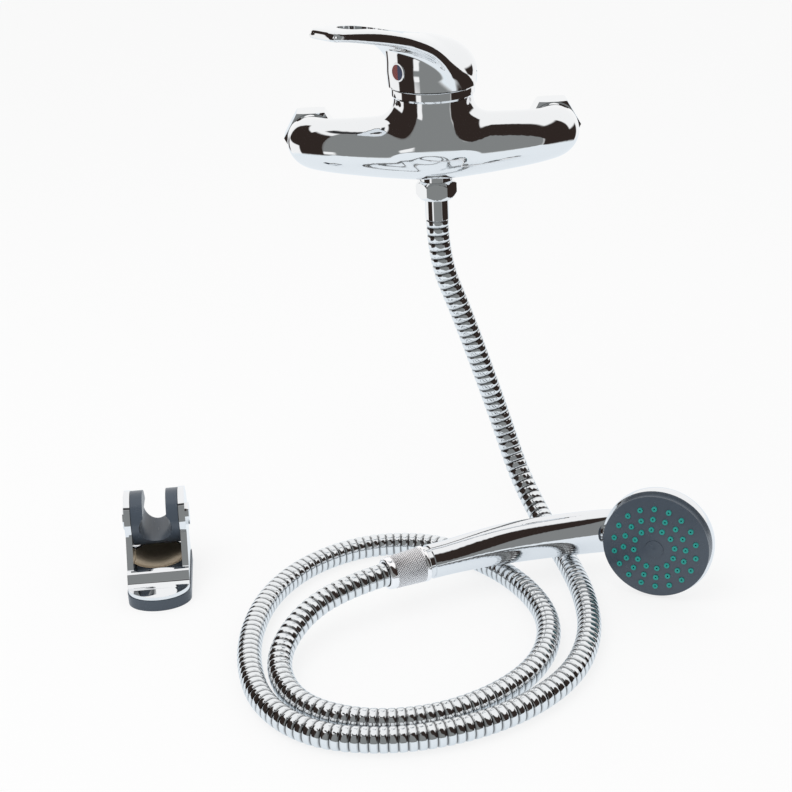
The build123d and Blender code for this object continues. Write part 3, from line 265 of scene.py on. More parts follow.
def make_plating_group():
    """Plated metal: soft waviness, fine wiping marks and a little haze."""
    group, given, result = new_group(
        "plating marks",
        [("Vector", "Vector", None), ("Base Roughness", "Float", 0.04), ("Haze", "Float", 0.03),
         ("Wave Scale", "Float", 40.0)],
        [("Roughness", "Float"), ("Height", "Float")])
    cloud = noise(group, given["Vector"], 55.0, 4.0, 0.6)
    wipe = noise(group, given["Vector"], 320.0, 2.0, 0.7, stretch=(1.0, 1.0, 0.12))
    haze = product(group, ramp_between(group, cloud, 0.45, 0.75), ramp_between(group, wipe, 0.5, 0.8),
                   given["Haze"])
    group.links.new(math_node(group, "ADD", given["Base Roughness"], haze), result["Roughness"])
    group.links.new(noise(group, given["Vector"], given["Wave Scale"], 1.0), result["Height"])
    return group


def make_moulding_group():
    """Moulded plastic or rubber: fine grain, faint flow shade and scuffs."""
    group, given, result = new_group(
        "moulded grain",
        [("Vector", "Vector", None), ("Color", "Color", (0.5, 0.5, 0.5, 1.0)),
         ("Grain Scale", "Float", 2600.0), ("Shade", "Float", 0.12), ("Base Roughness", "Float", 0.4)],
        [("Color", "Color"), ("Roughness", "Float"), ("Height", "Float")])
    flow = noise(group, given["Vector"], 60.0, 3.0, 0.55)
    shade = product(group, math_node(group, "SUBTRACT", flow, 0.5), given["Shade"])
    tone = feed(group, group.nodes.new("ShaderNodeHueSaturation"), Color=given["Color"],
                Value=math_node(group, "ADD", shade, 1.0))
    worn = noise(group, given["Vector"], 210.0, 3.0, 0.7, stretch=(1.0, 0.2, 1.0))
    scuff = product(group, ramp_between(group, worn, 0.62, 0.78), 0.08)
    group.links.new(tone["Color"], result["Color"])
    group.links.new(math_node(group, "ADD", given["Base Roughness"], scuff), result["Roughness"])
    group.links.new(noise(group, given["Vector"], given["Grain Scale"], 2.0), result["Height"])
    return group


GROUPS = {}


def group_node(tree, name, **values):
    """Place a shared group in a material, and give its outputs."""
    if name not in GROUPS:
        GROUPS[name] = {"plating": make_plating_group, "moulding": make_moulding_group}[name]()
    node = tree.nodes.new("ShaderNodeGroup")
    node.node_tree = GROUPS[name]
    return feed(tree, node, **values)


def start_material(name, metallic=0.0):
    """An empty material with its Principled shader."""
    material = bpy.data.materials.new(name)
    material.use_nodes = True
    tree = material.node_tree
    shader = tree.nodes["Principled BSDF"]
    feed(tree, shader, Metallic=metallic)
    return material, tree, shader


def surface(tree, shader, color, rough, height, strength, distance):
    """Give a shader its colour, its roughness and a bump."""
    bump = feed(tree, tree.nodes.new("ShaderNodeBump"), Strength=strength, Distance=distance, Height=height)
    feed(tree, shader, Base_Color=color, Roughness=rough, Normal=bump["Normal"])


def object_vector(tree):
    """A piece's own coordinates."""
    return tree.nodes.new("ShaderNodeTexCoord").outputs["Object"]


def plated(name, color, rough=0.03, haze=0.05, wave=38.0, wave_depth=0.00002):
    """Bright plated metal."""
    material, tree, shader = start_material(name, metallic=1.0)
    marks = group_node(tree, "plating", Vector=object_vector(tree), Base_Roughness=rough, Haze=haze,
                       Wave_Scale=wave)
    surface(tree, shader, (*color, 1), marks["Roughness"], marks["Height"], 0.35, wave_depth)
    return material


def moulded(name, color, rough=0.4, grain=2600.0, shade=0.12, coat=0.0):
    """Moulded plastic, rubber or ceramic."""
    material, tree, shader = start_material(name)
    feed(tree, shader, Coat_Weight=coat)
    marks = group_node(tree, "moulding", Vector=object_vector(tree), Color=(*color, 1), Grain_Scale=grain,
                       Shade=shade, Base_Roughness=rough)
    surface(tree, shader, marks["Color"], marks["Roughness"], marks["Height"], 0.3, 0.00003)
    return material


def hose_chrome_with_painted_groove_shade():
    """Bright casing, with painted shade down in its grooves: its colour goes near black there."""
    material, tree, shader = start_material("hose casing", metallic=1.0)
    depth = tree.nodes.new("ShaderNodeAttribute")
    depth.attribute_name = "groove"
    marks = group_node(tree, "plating", Vector=object_vector(tree), Base_Roughness=0.07, Haze=0.08,
                       Wave_Scale=220.0)
    # Painted shade: the stored groove mask darkens the casing's colour to near black down in each groove.
    shade = blend(tree, depth.outputs["Fac"], (0.84, 0.86, 0.875, 1), (0.012, 0.012, 0.014, 1))
    surface(tree, shader, shade, marks["Roughness"], marks["Height"], 0.5, 0.00004)
    return material


def knurl_chrome_with_painted_cut_shade():
    """Plated grip band: two sets of fine slanting cuts between bright rims, on the nut's own UV map, with
    painted shade darkening the cuts.
    """
    round_cuts, slanted_cuts, second_depth = 46.0, 15.0, 0.55
    plain_at, cut_shade_full_at, cut_shade_strength, grip_rough, rim_rough = 0.35, -0.75, 0.75, 0.20, 0.05
    grip_low, grip_high, grip_soft = 0.115, 0.825, 0.015
    material, tree, shader = start_material("knurled chrome", metallic=1.0)
    wrap = tree.nodes.new("ShaderNodeUVMap")
    wrap.uv_map = "wrap"
    around, along = split(tree, wrap.outputs["UV"])[:2]
    waves = []
    for lean in (1.0, -1.0):
        turns = math_node(tree, "ADD", product(tree, around, round_cuts),
                          product(tree, along, slanted_cuts * lean))
        waves.append(math_node(tree, "SINE", product(tree, turns, math.tau)))
    cuts = math_node(tree, "ADD", waves[0], product(tree, waves[1], second_depth))
    grip = band(tree, along, grip_low, grip_high, grip_soft)
    # Painted shade: the colour darkens in the cuts, down to a grey at their deepest.
    painted_cut_shade = product(tree, ramp_between(tree, cuts, plain_at, cut_shade_full_at), grip, cut_shade_strength)
    shade = blend(tree, painted_cut_shade, (1.0, 0.985, 0.99, 1), (0.34, 0.32, 0.34, 1))
    rough = math_node(tree, "ADD", product(tree, grip, grip_rough), rim_rough)
    surface(tree, shader, shade, rough, product(tree, cuts, grip), 1.0, 0.00012)
    return material


def bracket_chrome_with_painted_bowl_reflection():
    """Plated plastic, with a painted warm reflection in the bowl under the fork."""
    edge_soft, top_soft, bowl_rough = 0.0004, 0.0003, 0.3
    material, tree, shader = start_material("bracket chrome", metallic=1.0)
    place = object_vector(tree)
    marks = group_node(tree, "plating", Vector=place, Base_Roughness=0.035, Haze=0.05, Wave_Scale=60.0)
    away = tree.nodes.new("ShaderNodeVectorMath")
    away.operation = "DISTANCE"
    tree.links.new(place, away.inputs[0])
    away.inputs[1].default_value = BOWL_CENTRE
    height = split(tree, place)["Z"]
    painted_bowl_reflection = product(tree, ramp_between(tree, away.outputs["Value"], BOWL_R + edge_soft, BOWL_R - edge_soft),
                   ramp_between(tree, height, BOWL_TOP + top_soft, BOWL_TOP - top_soft))
    # Painted reflection: a warm bronze colour inside the bowl stands in for the warm surroundings it mirrors.
    shade = blend(tree, painted_bowl_reflection, (0.86, 0.87, 0.885, 1), (0.70, 0.58, 0.42, 1))
    rough = math_node(tree, "ADD", marks["Roughness"], product(tree, painted_bowl_reflection, bowl_rough))
    surface(tree, shader, shade, rough, marks["Height"], 0.35, 0.00004)
    return material


FINISHES = {
    "chrome": lambda: plated("polished chrome", (0.86, 0.87, 0.88)),
    "chrome_plastic": lambda: plated("chrome on plastic", (0.85, 0.86, 0.875), rough=0.035, wave=60.0,
                                     wave_depth=0.00004),
    "slate_plastic": lambda: moulded("slate plastic", (0.060, 0.078, 0.103), rough=0.27),
    "teal_rubber": lambda: moulded("teal nozzle rubber", (0.010, 0.31, 0.27), rough=0.45, shade=0.3),
    "black_rubber": lambda: moulded("black rubber", (0.02, 0.02, 0.022), rough=0.7),
    "brass": lambda: plated("machined brass", (0.72, 0.50, 0.22), rough=0.22, haze=0.2),
    "white_plastic": lambda: moulded("cartridge plastic", (0.72, 0.72, 0.70), rough=0.45),
    "ceramic": lambda: moulded("lapped ceramic", (0.86, 0.85, 0.81), rough=0.2, grain=5000.0),
    "steel": lambda: plated("machined steel", (0.62, 0.63, 0.65), rough=0.25, haze=0.15),
    "red_mark": lambda: moulded("red mark", (0.19, 0.022, 0.018), rough=0.2, coat=0.3),
    "blue_mark": lambda: moulded("blue mark", (0.006, 0.018, 0.075), rough=0.2, coat=0.3),
}


# Meshes

def place_object(name, data):
    """A new object in the scene."""
    piece = bpy.data.objects.new(name, data)
    bpy.context.scene.collection.objects.link(piece)
    return piece


def keep_mesh(name, mesh, body, material, replaces):
    """Link a finished mesh as a piece that rides on a body and stands for CAD nodes."""
    piece = place_object(name, mesh)
    mesh.materials.clear()
    mesh.materials.append(material)
    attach(piece, body)
    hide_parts(*replaces)
    return piece


def bake(source, name):
    """The evaluated object as a plain mesh."""
    bpy.context.view_layer.update()
    graph = bpy.context.evaluated_depsgraph_get()
    mesh = bpy.data.meshes.new_from_object(source.evaluated_get(graph), depsgraph=graph)
    mesh.name = name
    return mesh


def modified(mesh, name, kind, **settings):
    """A mesh after one modifier."""
    holder = place_object("holder", mesh)
    modifier = holder.modifiers.new(kind, kind)
    for label, value in settings.items():
        setattr(modifier, label, value)
    result = bake(holder, name)
    bpy.data.objects.remove(holder)
    return result


def read_mesh(mesh):
    """A bmesh of a mesh."""
    bm = bmesh.new()
    bm.from_mesh(mesh)
    return bm


def write_mesh(bm, mesh):
    """Write a bmesh to a mesh, or to a new one where a name is given, and free it."""
    if isinstance(mesh, str):
        mesh = bpy.data.meshes.new(mesh)
    bm.to_mesh(mesh)
    bm.free()
    return mesh


def outwards(bm):
    """Turn a closed shell's faces outwards."""
    bmesh.ops.recalc_face_normals(bm, faces=bm.faces)


def axis_matrix(base, way):
    """A frame at base whose Z points along way."""
    z = way.normalized()
    x = UP.cross(z).normalized()
    return Matrix.Translation(base) @ Matrix((x, z.cross(x), z)).transposed().to_4x4()


def angles(count, first=0.0):
    """Even angles all the way round."""
    return [math.tau * (k + first) / count for k in range(count)]


def skin_rings(bm, rings):
    """Faces between each ring of vertices and the next."""
    for first, second in zip(rings, rings[1:]):
        for k in range(len(first)):
            n = (k + 1) % len(first)
            bm.faces.new((first[k], first[n], second[n], second[k]))


def capped_rings(bm, rings):
    """Join rings of vertices into a closed tube."""
    skin_rings(bm, rings)
    bm.faces.new(rings[0])
    bm.faces.new(reversed(rings[-1]))


def add_cone(bm, low_r, high_r, low, high, y=0.0, sides=64):
    """Add a closed cone or rod between two heights."""
    bmesh.ops.create_cone(bm, cap_ends=True, segments=sides, radius1=low_r, radius2=high_r, depth=high - low,
                          matrix=Matrix.Translation((0, y, (low + high) / 2)))


def turned(name, section, place):
    """A closed ring turned from a section of (radius, height) in mm, with a UV map round it and along it."""
    sides = 96
    bm = bmesh.new()
    rings = [[bm.verts.new(place @ Vector((r * math.cos(a) / 1000, r * math.sin(a) / 1000, z / 1000)))
              for r, z in section] for a in angles(sides)]
    layer = bm.loops.layers.uv.new("wrap")
    low, high = min(z for r, z in section), max(z for r, z in section)
    for i in range(sides):
        for j in range(len(section)):
            k = (j + 1) % len(section)
            corners = [(i, j), (i + 1, j), (i + 1, k), (i, k)]
            face = bm.faces.new([rings[a % sides][b] for a, b in corners])
            face.smooth = True
            for corner, (a, b) in zip(face.loops, corners):
                corner[layer].uv = (a / sides, (section[b][1] - low) / (high - low))
    outwards(bm)
    return write_mesh(bm, name)


def smooth_line(stations, steps):
    """Catmull-Rom points through the inner ones of a list of stations."""
    rows = np.array(stations, dtype=float)
    points = []
    for p0, p1, p2, p3 in zip(rows, rows[1:], rows[2:], rows[3:]):
        for t in np.arange(steps) / steps:
            points.append(0.5 * (2 * p1 + (p2 - p0) * t + (2 * p0 - 5 * p1 + 4 * p2 - p3) * t ** 2
                                 + (3 * p1 - p0 - 3 * p2 + p3) * t ** 3))
    return np.array(points + [rows[-2]])


def near_line(points, line):
    """Distance to a line of (x, y, z, radius) less its radius there, and the way out."""
    low, high = line[:-1], line[1:]
    run = high[:, :3] - low[:, :3]
    squares = (run ** 2).sum(1)
    values, ways = [], []
    for part in np.array_split(points, max(1, len(points) // 3000)):
        rel = part[:, None, :] - low[None, :, :3]
        t = np.clip((rel * run).sum(2) / squares, 0, 1)
        away = rel - run * t[:, :, None]
        dist = np.sqrt((away ** 2).sum(2))
        value = dist - (low[:, 3] + (high[:, 3] - low[:, 3]) * t)
        best = value.argmin(1)
        rows = np.arange(len(part))
        values.append(value[rows, best])
        ways.append(away[rows, best] / np.maximum(dist[rows, best], 1e-6)[:, None])
    return np.concatenate(values), np.concatenate(ways)


def soft_union(first, second, reach):
    """Join two fields with a rounded inner corner: values and ways out."""
    (a, way_a), (b, way_b) = first, second
    share = np.clip(0.5 + 0.5 * (b - a) / reach, 0, 1)
    value = b * (1 - share) + a * share - reach * share * (1 - share)
    return value, way_a * share[:, None] + way_b * (1 - share)[:, None]


def rated(function, points):
    """A level function's rough distance and its way out, from its slope."""
    reach = 0.05
    slope = np.stack([(function(points + d) - function(points - d)) / (2 * reach)
                      for d in np.eye(3) * reach], 1)
    size = np.maximum(np.sqrt((slope ** 2).sum(1)), 1e-4)
    return function(points) / size, slope / size[:, None]


def settle(points, field, rounds=8):
    """Move points on to the surface where a field is nought."""
    longest, least_slope = 2.0, 0.2
    for _ in range(rounds):
        value, way = field(points)
        step = value / np.maximum((way ** 2).sum(1), least_slope)
        points = points - way * np.clip(step, -longest, longest)[:, None]
    return points


def get_points(mesh):
    """A mesh's vertices as an array."""
    flat = np.empty(len(mesh.vertices) * 3)
    mesh.vertices.foreach_get("co", flat)
    return flat.reshape(-1, 3)


def set_points(mesh, points):
    """Move a mesh's vertices to the places in an array."""
    mesh.vertices.foreach_set("co", np.ascontiguousarray(points, dtype=float).ravel())
    mesh.update()


def relax(mesh, field, passes):
    """Even out a skin's points along a field's surface."""
    pull = 0.6
    pairs = np.empty(len(mesh.edges) * 2, dtype=np.int32)
    mesh.edges.foreach_get("vertices", pairs)
    ends = pairs.reshape(-1, 2)
    points = get_points(mesh)
    count = np.bincount(pairs, minlength=len(points))[:, None]
    for _ in range(passes):
        total = np.stack([np.bincount(ends[:, 0], points[ends[:, 1], k], len(points))
                          + np.bincount(ends[:, 1], points[ends[:, 0], k], len(points)) for k in range(3)], 1)
        points = settle((1 - pull) * points + pull * total / count, field, 2)
    set_points(mesh, points)


def settled_skin(bm, name, size, field):
    """One closed outer skin round the shells of a bmesh, on the surface where a field is nought."""
    outwards(bm)
    mesh = modified(write_mesh(bm, name), name, "REMESH", mode="VOXEL", voxel_size=size)
    set_points(mesh, settle(get_points(mesh), field))
    return mesh


def bored_end(bm, at, way, steps):
    """Cut a shell off square, way pointing out of it, and bore it in steps of (radius, depth)."""
    bmesh.ops.bisect_plane(bm, geom=bm.verts[:] + bm.edges[:] + bm.faces[:], plane_co=at, plane_no=way,
                           clear_outer=True)
    near = 3 * steps[0][0]
    rim = [e for e in bm.edges if e.is_boundary and (e.verts[0].co - at).length < near]
    for radius, depth in steps:
        grown = bmesh.ops.extrude_edge_only(bm, edges=rim)["geom"]
        for v in grown:
            if isinstance(v, bmesh.types.BMVert):
                radial = v.co - at
                radial -= way * radial.dot(way)
                v.co = at + radial.normalized() * radius - way * depth
        rim = [e for e in grown if isinstance(e, bmesh.types.BMEdge) and e.is_boundary]
    bmesh.ops.holes_fill(bm, edges=rim)


def cut_out(mesh, cutter, place, solver):
    """Take a closed cutter out of a closed mesh."""
    bmesh.ops.transform(cutter, matrix=place, verts=cutter.verts)
    outwards(cutter)
    tool = place_object("cutter", write_mesh(cutter, "cutter"))
    result = modified(mesh, mesh.name, "BOOLEAN", operation="DIFFERENCE", solver=solver, object=tool)
    bpy.data.objects.remove(tool)
    return result


def finish_shell(bm, mesh, sharp=35):
    """Write a shell in mm to a mesh in metres, smooth apart from its real edges."""
    outwards(bm)
    bmesh.ops.scale(bm, vec=(0.001, 0.001, 0.001), verts=bm.verts)
    for face in bm.faces:
        face.smooth = True
    mesh = write_mesh(bm, mesh)
    mesh.set_sharp_from_angle(angle=math.radians(sharp))
    return mesh


def ribbed_casing_tree():
    """A ribbed skin along a curve: Ribs along it, each crowned, with a groove between."""
    tree = bpy.data.node_groups.new("ribbed casing", "GeometryNodeTree")
    add_inputs(tree, [
        ("Geometry", "Geometry", None), ("Ribs", "Int", HOSE_RIBS), ("Steps", "Int", 8),
        ("Radius", "Float", HOSE_DIAMETER / 2), ("Groove Depth", "Float", HOSE_GROOVE),
        ("Groove Share", "Float", 0.36), ("Crown", "Float", 0.00016), ("Sides", "Int", 26),
        ("Material", "Material", None)])
    tree.interface.new_socket("Geometry", in_out="OUTPUT", socket_type="NodeSocketGeometry")
    given = tree.nodes.new("NodeGroupInput").outputs
    resample = tree.nodes.new("GeometryNodeResampleCurve")
    resample.mode = "COUNT"
    count = math_node(tree, "ADD", product(tree, given["Ribs"], given["Steps"]), 1.0)
    line = feed(tree, resample, Curve=given["Geometry"], Count=count)["Curve"]
    index = tree.nodes.new("GeometryNodeInputIndex").outputs["Index"]
    phase = math_node(tree, "FRACT", math_node(tree, "DIVIDE", index, given["Steps"]))
    away = math_node(tree, "ABSOLUTE", math_node(tree, "SUBTRACT", product(tree, phase, 2.0), 1.0))
    groove = ramp_between(tree, away, math_node(tree, "SUBTRACT", 1.0, given["Groove Share"]), 1.0)
    crown = product(tree, math_node(tree, "POWER", away, 2.0), given["Crown"])
    cut = math_node(tree, "ADD", product(tree, groove, given["Groove Depth"]), crown)
    # The groove mask is also stored for the casing material, which paints shade into the grooves with it.
    store = tree.nodes.new("GeometryNodeStoreNamedAttribute")
    line = feed(tree, store, Geometry=line, Name="groove", Value=groove)["Geometry"]
    circle = tree.nodes.new("GeometryNodeCurvePrimitiveCircle")
    circle = feed(tree, circle, Resolution=given["Sides"])["Curve"]
    last = feed(tree, tree.nodes.new("GeometryNodeCurveToMesh"), Curve=line, Profile_Curve=circle,
                Fill_Caps=True, Scale=math_node(tree, "SUBTRACT", given["Radius"], cut))["Mesh"]
    for kind in ("SetShadeSmooth", "RealizeInstances", "SetMaterial"):
        node = tree.nodes.new("GeometryNode" + kind)
        last = feed(tree, node, Geometry=last)["Geometry"]
    tree.links.new(given["Material"], node.inputs["Material"])
    tree.links.new(last, tree.nodes.new("NodeGroupOutput").inputs["Geometry"])
    return tree


def set_inputs(modifier, values):
    """Set a Geometry Nodes modifier's inputs by their socket identifiers."""
    for item in modifier.node_group.interface.items_tree:
        if item.item_type == "SOCKET" and item.in_out == "INPUT" and item.name in values:
            modifier[item.identifier] = values[item.name]


def route_curve():
    """The hose's centreline as an open NURBS curve on its route."""
    curve = bpy.data.curves.new("hose_line", "CURVE")
    curve.dimensions = "3D"
    curve.resolution_u = 12
    spline = curve.splines.new("NURBS")
    spline.points.add(len(HOSE_ROUTE) - 1)
    for point, place in zip(spline.points, HOSE_ROUTE):
        point.co = (*place, 1)
    spline.order_u = 3
    spline.use_endpoint_u = True
    return place_object("hose_line", curve)


# What a user would change

class HoseSizes(bpy.types.PropertyGroup):
    diameter: FloatProperty(name="Diameter", description="Outside diameter of the casing",
                            default=HOSE_DIAMETER, unit="LENGTH")
    ribs: IntProperty(name="Ribs", description="Ribs from end to end", default=HOSE_RIBS)
    groove: FloatProperty(name="Groove", description="Depth between two ribs", default=HOSE_GROOVE,
                          unit="LENGTH")


class StudioLook(bpy.types.PropertyGroup):
    floor: FloatVectorProperty(name="Floor", description="Colour of the floor", subtype="COLOR",
                               default=(0.9, 0.9, 0.9))
    key: FloatProperty(name="Key", description="Power of the large lamp", default=6.0, unit="POWER")


# Pieces

class TAP_OT_hose(bpy.types.Operator):
    """Lays the ribbed hose along its route"""
    bl_idname = "tap.hose"
    bl_label = "Ribbed hose"

    def execute(self, context):
        sizes = context.scene.tap_hose
        line = route_curve()
        path = [v.co.copy() for v in bake(line, "hose_path").vertices]
        modifier = line.modifiers.new("ribs", "NODES")
        modifier.node_group = ribbed_casing_tree()
        casing = hose_chrome_with_painted_groove_shade()
        set_inputs(modifier, {"Ribs": sizes.ribs, "Radius": sizes.diameter / 2, "Groove Depth": sizes.groove,
                              "Material": casing})
        mesh = bake(line, "hose_skin")
        bpy.data.objects.remove(line)
        hose = keep_mesh("hose_skin", mesh, "root", casing,
                         replaces=["hose_casing", "hose_liner"])
        return {"FINISHED"}


class TAP_OT_grip_nut(bpy.types.Operator):
    """Turns the knurled nut between hose and handle"""
    bl_idname = "tap.grip_nut"
    bl_label = "Knurled nut"

    def execute(self, context):
        place = axis_matrix(NUT_BASE + NUT_WAY * NUT_START, NUT_WAY)
        mesh = turned("grip_nut", NUT_OUTSIDE + NUT_BORE, place)
        keep_mesh("grip_nut", mesh, "cone_nut", knurl_chrome_with_painted_cut_shade(), replaces=["cone_nut"])
        return {"FINISHED"}


class TAP_OT_outlet_nut(bpy.types.Operator):
    """Cuts the hexagon nut under the mixer, with its chamfered corners"""
    bl_idname = "tap.outlet_nut"
    bl_label = "Outlet nut"

    def execute(self, context):
        round_it = angles(OUTLET_SIDES)
        flats = [OUTLET_FLATS / 2 / math.cos(a % (math.pi / 3) - math.pi / 6) for a in round_it]
        ledge = OUTLET_LOW + OUTLET_FLOOR
        levels = []
        for z in np.linspace(OUTLET_LOW, OUTLET_TOP, OUTLET_LEVELS):
            cone = OUTLET_END_R + OUTLET_SLOPE * min(z - OUTLET_LOW, OUTLET_TOP - z)
            levels.append((z, [min(flat, cone) for flat in flats]))
        for radius, z in ((OUTLET_BORE_R, OUTLET_TOP), (OUTLET_BORE_R, ledge), (OUTLET_HOLE_R, ledge),
                          (OUTLET_HOLE_R, OUTLET_LOW)):
            levels.append((z, [radius] * len(round_it)))
        bm = bmesh.new()
        rings = [[bm.verts.new((r * math.cos(a), r * math.sin(a) + BOSS_AXIS_Y, z))
                  for a, r in zip(round_it, radii)] for z, radii in levels]
        skin_rings(bm, rings + rings[:1])
        mesh = finish_shell(bm, "outlet_nut", OUTLET_SHARP)
        keep_mesh("outlet_nut", mesh, "hose_nut", FINISHES["chrome"](), replaces=["hose_nut"])
        return {"FINISHED"}


BODY_CURVE = smooth_line(BODY_LINE, BODY_STEPS)


def body_field(points):
    """The barrel and the upright boss, joined by a wide fillet that fades towards the belly."""
    side = np.where(points[:, 0] < 0, -1.0, 1.0)
    value, way = near_line(points * np.stack([side, np.ones_like(side), np.ones_like(side)], 1), BODY_CURVE)
    way[:, 0] *= side
    out = points - np.array([0, BOSS_AXIS_Y, 0])
    out[:, 2] = 0
    span = np.maximum(np.sqrt((out ** 2).sum(1)), 1e-6)
    z = points[:, 2]
    radius = BOSS_R - TAPER * np.maximum(0, TAPER_FROM - z) ** 3
    t = np.clip((z - FILLET_LOW) / (FILLET_HIGH - FILLET_LOW), 0, 1)
    reach = FILLET_LEAST + FILLET_GAIN * t * t * (3 - 2 * t)
    return soft_union((value, way), (span - radius, out / span[:, None]), reach)


class TAP_OT_body(bpy.types.Operator):
    """Casts the mixer body as one flowing skin"""
    bl_idname = "tap.body"
    bl_label = "Mixer body"

    def execute(self, context):
        bm = bmesh.new()
        whole = np.concatenate([BODY_CURVE[:0:-1] * (-1, 1, 1, 1), BODY_CURVE])
        rings = []
        for i, (x, y, z, r) in enumerate(whole):
            back, front = whole[max(i - 1, 0)], whole[min(i + 1, len(whole) - 1)]
            along = Vector(front[:3] - back[:3]).normalized()
            side = along.cross(UP).normalized()
            rings.append([bm.verts.new(Vector((x, y, z)) + (side * math.cos(a) + UP * math.sin(a)) * r)
                          for a in angles(BODY_SIDES)])
        capped_rings(bm, rings)
        add_cone(bm, *BOSS_ROUGH, BOSS_AXIS_Y)
        mesh = settled_skin(bm, "body_skin", BODY_VOXEL, body_field)
        bm = read_mesh(mesh)
        bored_end(bm, Vector((0, BOSS_AXIS_Y, BOSS_TOP)), UP, [(CHAMBER_R, 0), (CHAMBER_R, CHAMBER_DEPTH)])
        for x in (-INLET_X, INLET_X):
            bored_end(bm, Vector((x, INLET_END_Y, 0)), Vector((0, 1, 0)),
                      [(SLEEVE_R, 0), (SLEEVE_R, SLEEVE_DEPTH)])
        add_cone(bm, NIPPLE_R, NIPPLE_R, NIPPLE_LOW, NIPPLE_TOP, BOSS_AXIS_Y, sides=48)
        finish_shell(bm, mesh)
        keep_mesh("body_skin", mesh, "root", FINISHES["chrome"](), replaces=["mixer_body"])
        return {"FINISHED"}


LEVER_LINE = smooth_line(LEVER_ROWS, LEVER_STEPS)


def arm_section(s):
    """The arm's half width, lowest edge, belt, crown and squareness at a place, and how far it has closed."""
    row = [np.interp(s, LEVER_LINE[:, 0], LEVER_LINE[:, k]) for k in range(1, 6)]
    nose, tail = (s - NOSE_FROM) / NOSE_REACH, (TAIL_FROM - s) / TAIL_REACH
    return *row, np.maximum(np.maximum(nose, tail), 0)


def arm_level(points):
    """Below nought inside the arm: superellipse sections that close at the nose and under the hood."""
    s, w, z = points.T
    half, low, belt, crown, square, past = arm_section(s)
    above = z > belt
    rise = np.where(above, (z - belt) / (crown - belt), (belt - z) / (belt - low))
    power = np.where(above, square, np.interp(s, UNDER_PLACES, UNDER_POWERS))
    return ((np.abs(w) / half) ** power + rise ** power + past ** power) ** (1 / power) - 1


def hood_level(points):
    """Below nought inside the round back of the hood."""
    s, w, z = points.T
    wide = HOOD_R - HOOD_TAPER * np.clip(HOOD_Z - z, 0, None)
    return np.sqrt((np.hypot(s, w) / wide) ** 2 + (np.clip(z - HOOD_Z, 0, None) / HOOD_RISE) ** 2) - 1


def skirt_level(points):
    """Below nought inside the skirt, cut off on a slope under the arm."""
    s, w, z = points.T
    cone = np.hypot(s, w) - (SKIRT_R + SKIRT_FLARE * (z - SKIRT_BOTTOM))
    return np.maximum(cone, (z - SLOPE_Z) * math.cos(SLOPE_LEAN) - s * math.sin(SLOPE_LEAN))


def lever_field(points):
    """The hood, the arm and the skirt, joined softly."""
    shell = soft_union(rated(hood_level, points), rated(arm_level, points), HOOD_BLEND)
    return soft_union(shell, rated(skirt_level, points), SKIRT_BLEND)


def lever_rough():
    """The lever's arm, skirt and hood as rough shells that run into each other."""
    bm = bmesh.new()
    rings = []
    for s in np.linspace(ARM_START, ARM_END, LEVER_RINGS):
        half, low, belt, crown, square, past = arm_section(s)
        keep = (1 - past ** ARM_ROUND) ** (1 / ARM_ROUND)
        ring = []
        for a in angles(LEVER_SIDES, first=0.5):
            tall, power = (crown - belt, square) if math.sin(a) > 0 else (belt - low, ARM_BELOW)
            across, up = (math.copysign(abs(v) ** (2 / power), v) for v in (math.cos(a), math.sin(a)))
            ring.append(bm.verts.new((s, across * half * keep, belt + up * tall * keep)))
        rings.append(ring)
    capped_rings(bm, rings)
    add_cone(bm, *SKIRT_ROUGH)
    front = bmesh.new()
    add_cone(front, *FRONT_ROUGH)
    cut = bmesh.ops.bisect_plane(front, geom=front.verts[:] + front.edges[:] + front.faces[:],
                                 plane_co=(0, 0, SLOPE_Z), clear_outer=True,
                                 plane_no=(-math.sin(SLOPE_LEAN), 0, math.cos(SLOPE_LEAN)))["geom_cut"]
    bmesh.ops.holes_fill(front, edges=[e for e in cut if isinstance(e, bmesh.types.BMEdge)])
    bm.from_mesh(write_mesh(front, "front"))
    bmesh.ops.create_uvsphere(bm, u_segments=48, v_segments=24, radius=1, matrix=Matrix.LocRotScale(
        Vector((0, 0, HOOD_Z)), None, Vector((HOOD_R, HOOD_R, HOOD_RISE))))
    return bm


class TAP_OT_lever(bpy.types.Operator):
    """Shapes the lever as one flowing skin, with its hollow, thumb slot and mark seat"""
    bl_idname = "tap.lever"
    bl_label = "Lever"

    def execute(self, context):
        mesh = settled_skin(lever_rough(), "lever_skin", LEVER_VOXEL, lever_field)
        relax(mesh, lever_field, LEVER_PASSES)
        bm = read_mesh(mesh)
        bored_end(bm, Vector((0, 0, SKIRT_BOTTOM)), -UP, LEVER_HOLLOW)
        outwards(bm)
        write_mesh(bm, mesh)
        slot = bmesh.new()
        outline = [Vector((at + SLOT_R * math.cos(a), SLOT_R * math.sin(a), SLOT_LOW))
                   for at, turn in ((SLOT_FAR, -0.5), (SLOT_NEAR, 0.5))
                   for a in (math.pi * (turn + k / 20) for k in range(21))]
        sole = slot.faces.new([slot.verts.new(v) for v in outline])
        grown = bmesh.ops.extrude_face_region(slot, geom=[sole])["geom"]
        upper = [v for v in grown if isinstance(v, bmesh.types.BMVert)]
        bmesh.ops.translate(slot, vec=(0, 0, SLOT_TALL), verts=upper)
        mesh = cut_out(mesh, slot, Matrix(), "MANIFOLD")
        for radius, start, end in MARK_HOLES:
            rod = bmesh.new()
            add_cone(rod, radius, radius, start, end, sides=48)
            place = Matrix.Translation((0, 0, MARK_Z)) @ Matrix.Rotation(math.pi / 2, 4, "Y")
            mesh = cut_out(mesh, rod, place, "EXACT")
        bm = read_mesh(mesh)
        bmesh.ops.transform(bm, matrix=LEVER_PLACE, verts=bm.verts)
        finish_shell(bm, mesh)
        keep_mesh("lever_skin", mesh, "lever", FINISHES["chrome"](), replaces=["lever"])
        return {"FINISHED"}


